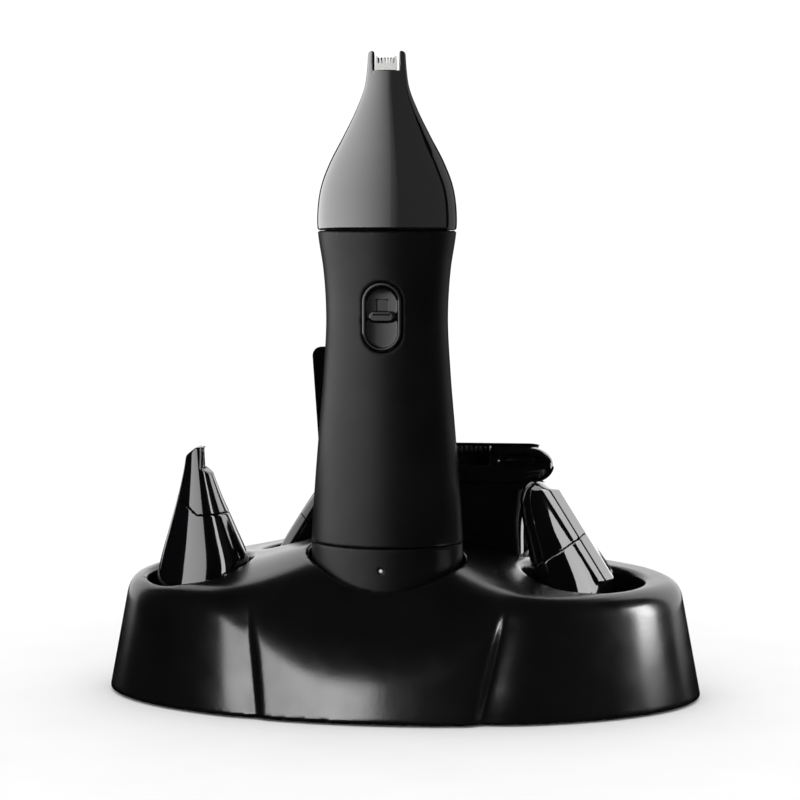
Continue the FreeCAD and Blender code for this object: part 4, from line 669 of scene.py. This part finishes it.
def bezel_field(x, y, z):
    """The switch's glossy rim round a dished well, with a slot for the slider's neck."""
    across, up = x - GRIP[0], z - SWITCH
    outside = smooth_max(stadium_field(across, up, *BEZEL_RIM), BEZEL_FRONT - y, 0.5)
    outside = np.maximum(outside, y - BEZEL_BACK)
    dish = BEZEL_FRONT + DISH_DEEP - DISH_ACROSS * across ** 2 - DISH_UP * up ** 2
    well = smooth_max(stadium_field(across, up, *BEZEL_WELL), y - dish, 0.5)
    slot = box_field(across, y, up, *NECK_SLOT)
    return np.maximum(smooth_max(outside, -well, 0.35), -slot)


def slider_field(x, y, z):
    """The thumb bar with its groove, and the neck and keeper behind the well."""
    across, up = x - GRIP[0], z - SWITCH
    thick = np.abs(y - BAR_FRONT) - BAR_HALF_THICK
    bar = smooth_max(stadium_field(across, up, *BAR_SIZE, True), thick, 0.7)
    bar = smooth_max(bar, -box_field(across, y, up, *BAR_GROOVE, 0.05), 0.12)
    neck = box_field(across, y, up, *BAR_NECK, 0.1)
    keeper = box_field(across, y, up, *BAR_KEEPER, 0.1)
    return np.minimum(np.minimum(bar, neck), keeper)


bezel = skin("bezel_rim", bezel_field, (-8, -22, 87), (2.5, -19, 104.5), 0.16)
finish_piece(bezel, "handle", "gloss_black", ("switch_bezel",))
slider = skin("slider_bar", slider_field, (-6.5, -22.2, 91), (1, -18.7, 101), 0.12)
finish_piece(slider, "slider", "gloss_black", ("switch_slider",))


# ------------------------------------------------------------------ detail head

ROOF, PRONG_TOP, PRONG_INNER = 155.2, 159.9, 3.2
HEAD_WALL, HOLLOW_TOP = 1.3, 151
BLADE_SLOT_Y, BLADE_SLOT_Z, BLADE_SLOT_HALF = -11.05, 152.5, (2.85, 1.05, 6)
head_outline = outline_table(((115, 0, 33.6, 25.6), (116.5, 0, 34.0, 26.0), (122, 0, 34.0, 26.0),
                              (127.5, 0, 32.2, 24.2), (133, 0, 28.0, 20.4), (139.5, 0, 21.2, 14.8),
                              (146, 0, 14.8, 10.0), (151, 0, 11.0, 7.4), (155.2, 0, 9.7, 6.2),
                              (160.5, 0, 9.0, 5.4)))


def head_field(x, y, z):
    """The glossy bottle-shaped shell that ends in two guard prongs."""
    outside = ring_field(x, y, z, GRIP, head_outline)
    body = smooth_max(smooth_max(outside, JOINT + JOINT_GAP - z, 0.6), z - PRONG_TOP, 1.1)
    notch = np.maximum(np.abs(x - GRIP[0]) - PRONG_INNER, ROOF - z)
    body = smooth_max(body, -notch, 0.35)
    hollow = np.maximum(ring_field(x, y, z, GRIP, head_outline, HEAD_WALL), z - HOLLOW_TOP)
    slot = box_field(x, y, z, (GRIP[0], BLADE_SLOT_Y, BLADE_SLOT_Z), BLADE_SLOT_HALF)
    return np.maximum(smooth_max(body, -hollow, 0.3), -slot)


head = skin("head_body", head_field, (-20, -23.2, 116.5), (14.5, 3.2, 160), 0.4)
finish_piece(head, "detail_head", "gloss_black", ("head_shell",), head_gloss)


TOOTH_ROOT, TOOTH_TIP = 0.36, 0.2


def blade_outline(centre, low, high, wide, teeth, depth, end_rise):
    """A blade's outline: straight sides and a row of tapered teeth along the top.

    The outer teeth reach end_rise higher than the others.
    """
    pitch = wide / teeth
    rows = [(centre - wide / 2, low), (centre + wide / 2, low)]
    for number in range(teeth):
        middle = centre + wide / 2 - pitch * (number + 0.5)
        top = high if number in (0, teeth - 1) else high - end_rise
        rows += [(middle + pitch * TOOTH_ROOT, high - depth), (middle + pitch * TOOTH_TIP, top),
                 (middle - pitch * TOOTH_TIP, top), (middle - pitch * TOOTH_ROOT, high - depth)]
    return rows


def blade_piece(name, body, node, teeth, depth, end_rise):
    """A toothed blade that fills the box of its CAD node."""
    low, high, middle = node_boxes[node]
    outline = blade_outline(middle[0], low[2], high[2], high[0] - low[0], teeth, depth, end_rise)
    piece = plate_piece(name, outline, low[1], high[1] - low[1], 0.05)
    finish_piece(piece, body, "blade_steel", (node,))


blade_piece("fixed_teeth", "detail_head", "fixed_blade", 6, 1.7, 0.5)
blade_piece("clipper_teeth", "clipper_head", "clipper_comb_blade", 16, 1.9, 0)
blade_piece("clipper_cutter_teeth", "clipper_bar", "clipper_cutter_blade", 14, 1.7, 0)


# ------------------------------------------------------------------ stored heads

FOOT = 12
BORE_REACH, BORE_ROOF, SKIRT_WALL = 8.15, 19.8, 0.9
PARTING_GAP, NOSE_GAP, PARTING_ROUND = 0.05, 0.06, 0.12


def spigot_bore(x, y, z, centre, outline, power=2.0):
    """The hole in a stored head's foot that fits over the spigot, with a wall left all round."""
    reach = np.sqrt((x - centre[0]) ** 2 + (y - centre[1]) ** 2)
    walls = ring_field(x, y, z, centre, outline, SKIRT_WALL, power)
    return np.maximum(np.maximum(reach - BORE_REACH, z - BORE_ROOF), walls)


NOSE = np.array((-50.8, -2.0))
NOSE_AXIS, NOSE_SHAFT, NOSE_SHAFT_TOP = -0.6, 1.4, 60.6
PARTING_LEVEL, PARTING_SLOPE, PARTING_X, PARTING_LIMITS = 48.7, 0.78, -4.2, (45.4, 52.0)
TIP_TOP, TIP_SLANT, TIP_CORNER = 61.9, 0.75, -1.1
CHEEK_X, CHEEK_TOP, CHEEK_FOOT, CHEEK_SLANT, CHEEK_CORNER = 0.75, 63.5, 57.6, 0.6, -1.2
SLIT_X, SLIT_HALF, SLIT_FOOT, SLIT_TOP = 1.1, 0.3, 56.6, 61.6
# A slanted surface's field grows too fast by its slope; these bring it back to a distance.
CONE_SCALE, SLANT_SCALE = 0.93, 0.8
nose_outline = outline_table(((11, 0, 24.2, 28.2), (20, 0, 24.4, 28.2), (28, 0.3, 24.0, 26.6),
                              (33, 0.5, 22.4, 23.4), (42, 0.0, 16.4, 16.8), (51, -0.7, 10.2, 10.4),
                              (57, -1.1, 6.8, 7.2), (64, -1.4, 4.4, 5.2)))


def nose_parting(x, z):
    """Which side of the parting line between shell and tip a point is on; above is positive."""
    across = x - NOSE[0]
    level = PARTING_LEVEL - PARTING_SLOPE * (across - PARTING_X)
    return z - np.clip(level, *PARTING_LIMITS)


def nose_field(x, y, z):
    """The nose head's cone with its slanted end."""
    cone = ring_field(x, y, z, NOSE, nose_outline)
    across = x - NOSE[0]
    slant = z - TIP_TOP - TIP_SLANT * np.minimum(across - TIP_CORNER, 0)
    body = smooth_max(cone * CONE_SCALE, slant * SLANT_SCALE, 0.5)
    notch = np.maximum(z - CHEEK_TOP, CHEEK_FOOT - z - CHEEK_SLANT * (across - CHEEK_CORNER))
    cheek = np.maximum(CHEEK_X - across, notch)
    body = smooth_max(body, -cheek, 0.15)
    return smooth_max(body, FOOT - z, 0.5)


def nose_shell_field(x, y, z):
    """The lower nose shell: everything under the parting line."""
    bore = spigot_bore(x, y, z, NOSE, nose_outline)
    shaft = np.sqrt((x - NOSE[0] - NOSE_AXIS) ** 2 + (y - NOSE[1]) ** 2) - NOSE_SHAFT
    below = nose_parting(x, z) * SLANT_SCALE + NOSE_GAP
    solid = smooth_max(nose_field(x, y, z), below, PARTING_ROUND)
    return np.maximum(solid, -np.minimum(bore, shaft))


def nose_tip_field(x, y, z):
    """The slotted tip in which the cutter spins."""
    above = NOSE_GAP - nose_parting(x, z) * SLANT_SCALE
    solid = smooth_max(nose_field(x, y, z), above, PARTING_ROUND)
    across, back = x - NOSE[0] - NOSE_AXIS, y - NOSE[1]
    bore = np.maximum(np.sqrt(across ** 2 + back ** 2) - NOSE_SHAFT, z - NOSE_SHAFT_TOP)
    slit = np.maximum(np.abs(across - SLIT_X) - SLIT_HALF, np.maximum(SLIT_FOOT - z, z - SLIT_TOP))
    return smooth_max(solid, -np.minimum(bore, slit), 0.15)


nose = skin("nose_shell_body", nose_shell_field, (-64, -17, 12), (-37, 13, 53.5), 0.4)
finish_piece(nose, "nose_head", "gloss_black", ("nose_head_shell",))
tip = skin("nose_tip_body", nose_tip_field, (-61, -12, 44.5), (-41, 9, 63.2), 0.25)
finish_piece(tip, "nose_head", "gloss_black", ("nose_head_tip",))


def leaning_head(stem, body, foot, side, outline, parting, nodes, bar_foot, bar_top):
    """A head that leans to one side: an oval skirt with a slanted, chamfered bar on its front.

    The bar runs up from bar_foot to bar_top in the front view. climb goes along it, out is
    how far a point is on its outer side, and past is how far it is beyond the rounded top.
    """
    radius, outer, foot_reach = 3.4, 4.0, 9
    front_place, front_slope, back_place, back_slope = -7.6, 0.12, 5.6, 0.15
    # Chamfers along the outer front edge: outward and depth shares of the slope, and the start.
    chamfers = ((0.6, 0.8, 0.3), (0.88, 0.47, 1.1))
    table = outline_table(outline)
    run = np.array(bar_top) - np.array(bar_foot)
    length = np.hypot(*run)
    along_x, along_z = run / length

    def whole(x, y, z):
        """The head in one piece."""
        across, back = (x - foot[0]) * side, y - foot[1]
        skirt = ring_field(across, back, z, (0, 0), table)
        skirt = smooth_max(skirt, z - outline[-1][0] + 0.3, 2.2)
        dx, dz = across - bar_foot[0], z - bar_foot[1]
        risen = np.maximum(dz, 0)
        climb = dx * along_x + risen * along_z + np.minimum(dz, 0)
        out = dx * along_z - risen * along_x
        past = np.maximum(climb - (length - radius), 0)
        round_side = np.sqrt(past ** 2 + np.minimum(out, 0) ** 2) - radius
        flat_side = np.maximum(past + out - radius, out - outer)
        front = 0.02 * out + front_place + front_slope * np.maximum(climb, 0)
        bar = smooth_max(np.where(out < 0, round_side, flat_side), front - back, 1.8)
        for out_share, depth_share, start in chamfers:
            cut = out_share * (out - start) - depth_share * (back - front)
            bar = smooth_max(bar, cut, 0.2)
        bar = smooth_max(bar, back - back_place + back_slope * climb, 2)
        bar = smooth_max(bar, -climb - foot_reach, 1)
        solid = smooth_min(skirt, bar, 1.2)
        return smooth_max(solid, FOOT - z, 0.5)

    def over_parting(x, z):
        """Positive above the slanted parting line."""
        return ((x - foot[0]) * side + 2) * along_x + (z - parting) * along_z

    def lower(x, y, z):
        """The part under the parting line, with its bore."""
        bore = spigot_bore((x - foot[0]) * side, y - foot[1], z, (0, 0), table)
        solid = smooth_max(whole(x, y, z), over_parting(x, z) + PARTING_GAP, PARTING_ROUND)
        return smooth_max(solid, -bore, 0.3)

    def upper(x, y, z):
        """The part over the parting line."""
        return smooth_max(whole(x, y, z), PARTING_GAP - over_parting(x, z), PARTING_ROUND)

    low, high = np.array(node_boxes[nodes[0]][0]), np.array(node_boxes[nodes[0]][1])
    base = skin(stem + "_base_body", lower, low - (2, 0, 0), high + (2, 0, 7), 0.4)
    finish_piece(base, body, "gloss_black", (nodes[0],))
    low, high = np.array(node_boxes[nodes[1]][0]), np.array(node_boxes[nodes[1]][1])
    top = skin(stem + "_top_body", upper, low - (2, 0, 7), high + (2, 0, 1), 0.3)
    finish_piece(top, body, "gloss_black", (nodes[1],))


lean_rows = ((12, 0, 20.0, 25.0), (22, -0.4, 19.2, 24.2), (31, -1.8, 17.6, 20.6), (38, -4.4, 14.8, 16.8),
             (45, -7.4, 11.4, 13.4), (51, -9.4, 8.2, 10.6), (54.8, -9.8, 4.6, 8.0))
leaning_head("shaver", "shaver_head", (43.5, -3.0), 1, lean_rows, 39, ("shaver_head_base", "shaver_head_top"),
             (5.6, 31), (-8.6, 53.4))
wedge_rows = ((12, 0, 18.0, 15.4), (24, -0.4, 18.0, 15.2), (34, -2.4, 16.4, 13.6), (42, -5.4, 13.6, 11.6),
              (49, -8.6, 10.6, 9.4), (54, -10.6, 6.6, 7.0))
leaning_head("wedge", "wedge_head", (-27.0, 12.4), -1, wedge_rows, 42, ("wedge_head_base", "wedge_head_top"),
             (4.2, 31), (-9.4, 52.6))


CLIPPER = np.array((18.5, 17.0))
CLIPPER_POWER, CLIPPER_PARTING = 3.0, 52
BAR_MIDDLE, BAR_HALF, BAR_END, BAR_FLATNESS, BAR_LONGNESS = 56.4, 12.6, 6.2, 1.36, 0.9
BAR_BACK, BAR_DEEP, NECK_TOP = 0.1, 6.1, 57
# The scooped facet is part of an ellipsoid: middle and half sizes as across, up and depth.
SCOOP_MIDDLE, SCOOP_HALF, SCOOP_SCALE = (30.0, 57.7, 8.9), (7.4, 2.2, 4.4), 2.6
clipper_outline = outline_table(((11, 0, 23.4, 16.6), (32, 0, 25.4, 16.0), (44, 0, 25.8, 14.2),
                                 (50, 0, 29.0, 13.2), (62, 0, 33.0, 12.4)))


def clipper_field(x, y, z):
    """The wide head: an upright body under a long rounded bar with a scooped facet."""
    across, back = x - CLIPPER[0], y - CLIPPER[1]
    neck = smooth_max(ring_field(x, y, z, CLIPPER, clipper_outline, 0, CLIPPER_POWER), z - NECK_TOP, 3)
    past = np.maximum(np.abs(across) - BAR_HALF, 0)
    above = np.maximum(np.abs(z - BAR_MIDDLE) - 0.2, 0)
    lobe = np.sqrt(past ** 2 * BAR_LONGNESS + (above * BAR_FLATNESS) ** 2) - BAR_END
    bar = smooth_max(lobe, np.abs(back + BAR_BACK) - BAR_DEEP, 2.6)
    solid = smooth_min(neck, bar, 2.5)
    offsets = [(p - c) / h for p, c, h in zip((x, z, y), SCOOP_MIDDLE, SCOOP_HALF)]
    scoop = np.sqrt(offsets[0] ** 2 + offsets[1] ** 2 + offsets[2] ** 2) - 1
    solid = smooth_max(solid, -scoop * SCOOP_SCALE, 0.25)
    return smooth_max(solid, FOOT - z, 0.5)


def clipper_base_field(x, y, z):
    """The lower body with the bore for the spigot."""
    bore = spigot_bore(x, y, z, CLIPPER, clipper_outline, CLIPPER_POWER)
    solid = smooth_max(clipper_field(x, y, z), z - CLIPPER_PARTING + PARTING_GAP, 0.15)
    return smooth_max(solid, -bore, 0.3)


def clipper_top_field(x, y, z):
    """The upper bar with the seat of the blades."""
    low, high, middle = node_boxes["clipper_comb_blade"]
    seat_half = ((high[0] - low[0]) / 2 + 0.5, 1.6, 6.6)
    seat = box_field(x, y, z, (middle[0], low[1] - 0.2, 61), seat_half)
    solid = smooth_max(clipper_field(x, y, z), CLIPPER_PARTING + PARTING_GAP - z, 0.15)
    return smooth_max(solid, -seat, 0.2)


clipper = skin("clipper_base_body", clipper_base_field, (3, 8, 12), (34, 26, 52), 0.45)
finish_piece(clipper, "clipper_head", "gloss_black", ("clipper_head_base",))
clipper_bar = skin("clipper_top_body", clipper_top_field, (-1, 10, 52), (38, 24, 62.5), 0.35)
finish_piece(clipper_bar, "clipper_head", "gloss_black", ("clipper_head_top",))


# ------------------------------------------------------------------ comb

COMB_CORNER, COMB_CORNER_STEPS = 2.4, 6
COMB_FOOT_HALF, COMB_FOOT_CHAMFER, COMB_TIP_CHAMFER = 5.5, 0.8, 1
COMB_GAPS, COMB_PITCH, COMB_TEETH_LONG, COMB_TOP_BAND = 22, 2, 10, 4
# Levels of a gap between two teeth over its start, with 1 where the gap is deep.
COMB_GAP = ((0, 0), (0.25, 1), (0.95, 1), (1.2, 0))


def comb_outline():
    """The comb in the front view: a tapered back on the left and teeth pointing right."""
    low, high, middle = node_boxes["styling_comb"]
    foot_left, foot_right = middle[0] - COMB_FOOT_HALF, middle[0] + COMB_FOOT_HALF
    tall = high[2] - low[2]
    points = []
    for step in range(COMB_CORNER_STEPS + 1):
        angle = math.pi / 2 * step / COMB_CORNER_STEPS
        aside = COMB_CORNER * (1 - math.sin(angle))
        down = COMB_CORNER * (1 - math.cos(angle))
        points.append((low[0] + aside, high[2] - down))
    points.append((foot_left + COMB_FOOT_CHAMFER, low[2]))
    points.append((foot_right - COMB_FOOT_CHAMFER, low[2]))
    for number in range(COMB_GAPS):
        start = low[2] + tall - COMB_TOP_BAND - (COMB_GAPS - number) * COMB_PITCH
        for over, deep in COMB_GAP:
            level = start + over
            edge = foot_right + (high[0] - foot_right) * (level - low[2]) / tall
            points.append((high[0] - COMB_TEETH_LONG if deep else edge - 0.1, level))
    points.append((high[0], high[2] - COMB_TIP_CHAMFER))
    points.append((high[0] - COMB_TIP_CHAMFER, high[2]))
    return points


low, high, middle = node_boxes["styling_comb"]
comb = plate_piece("comb_body", comb_outline(), low[1], high[1] - low[1], 0.12)
finish_piece(comb, "comb", "gloss_black", ("styling_comb",))

make_light()
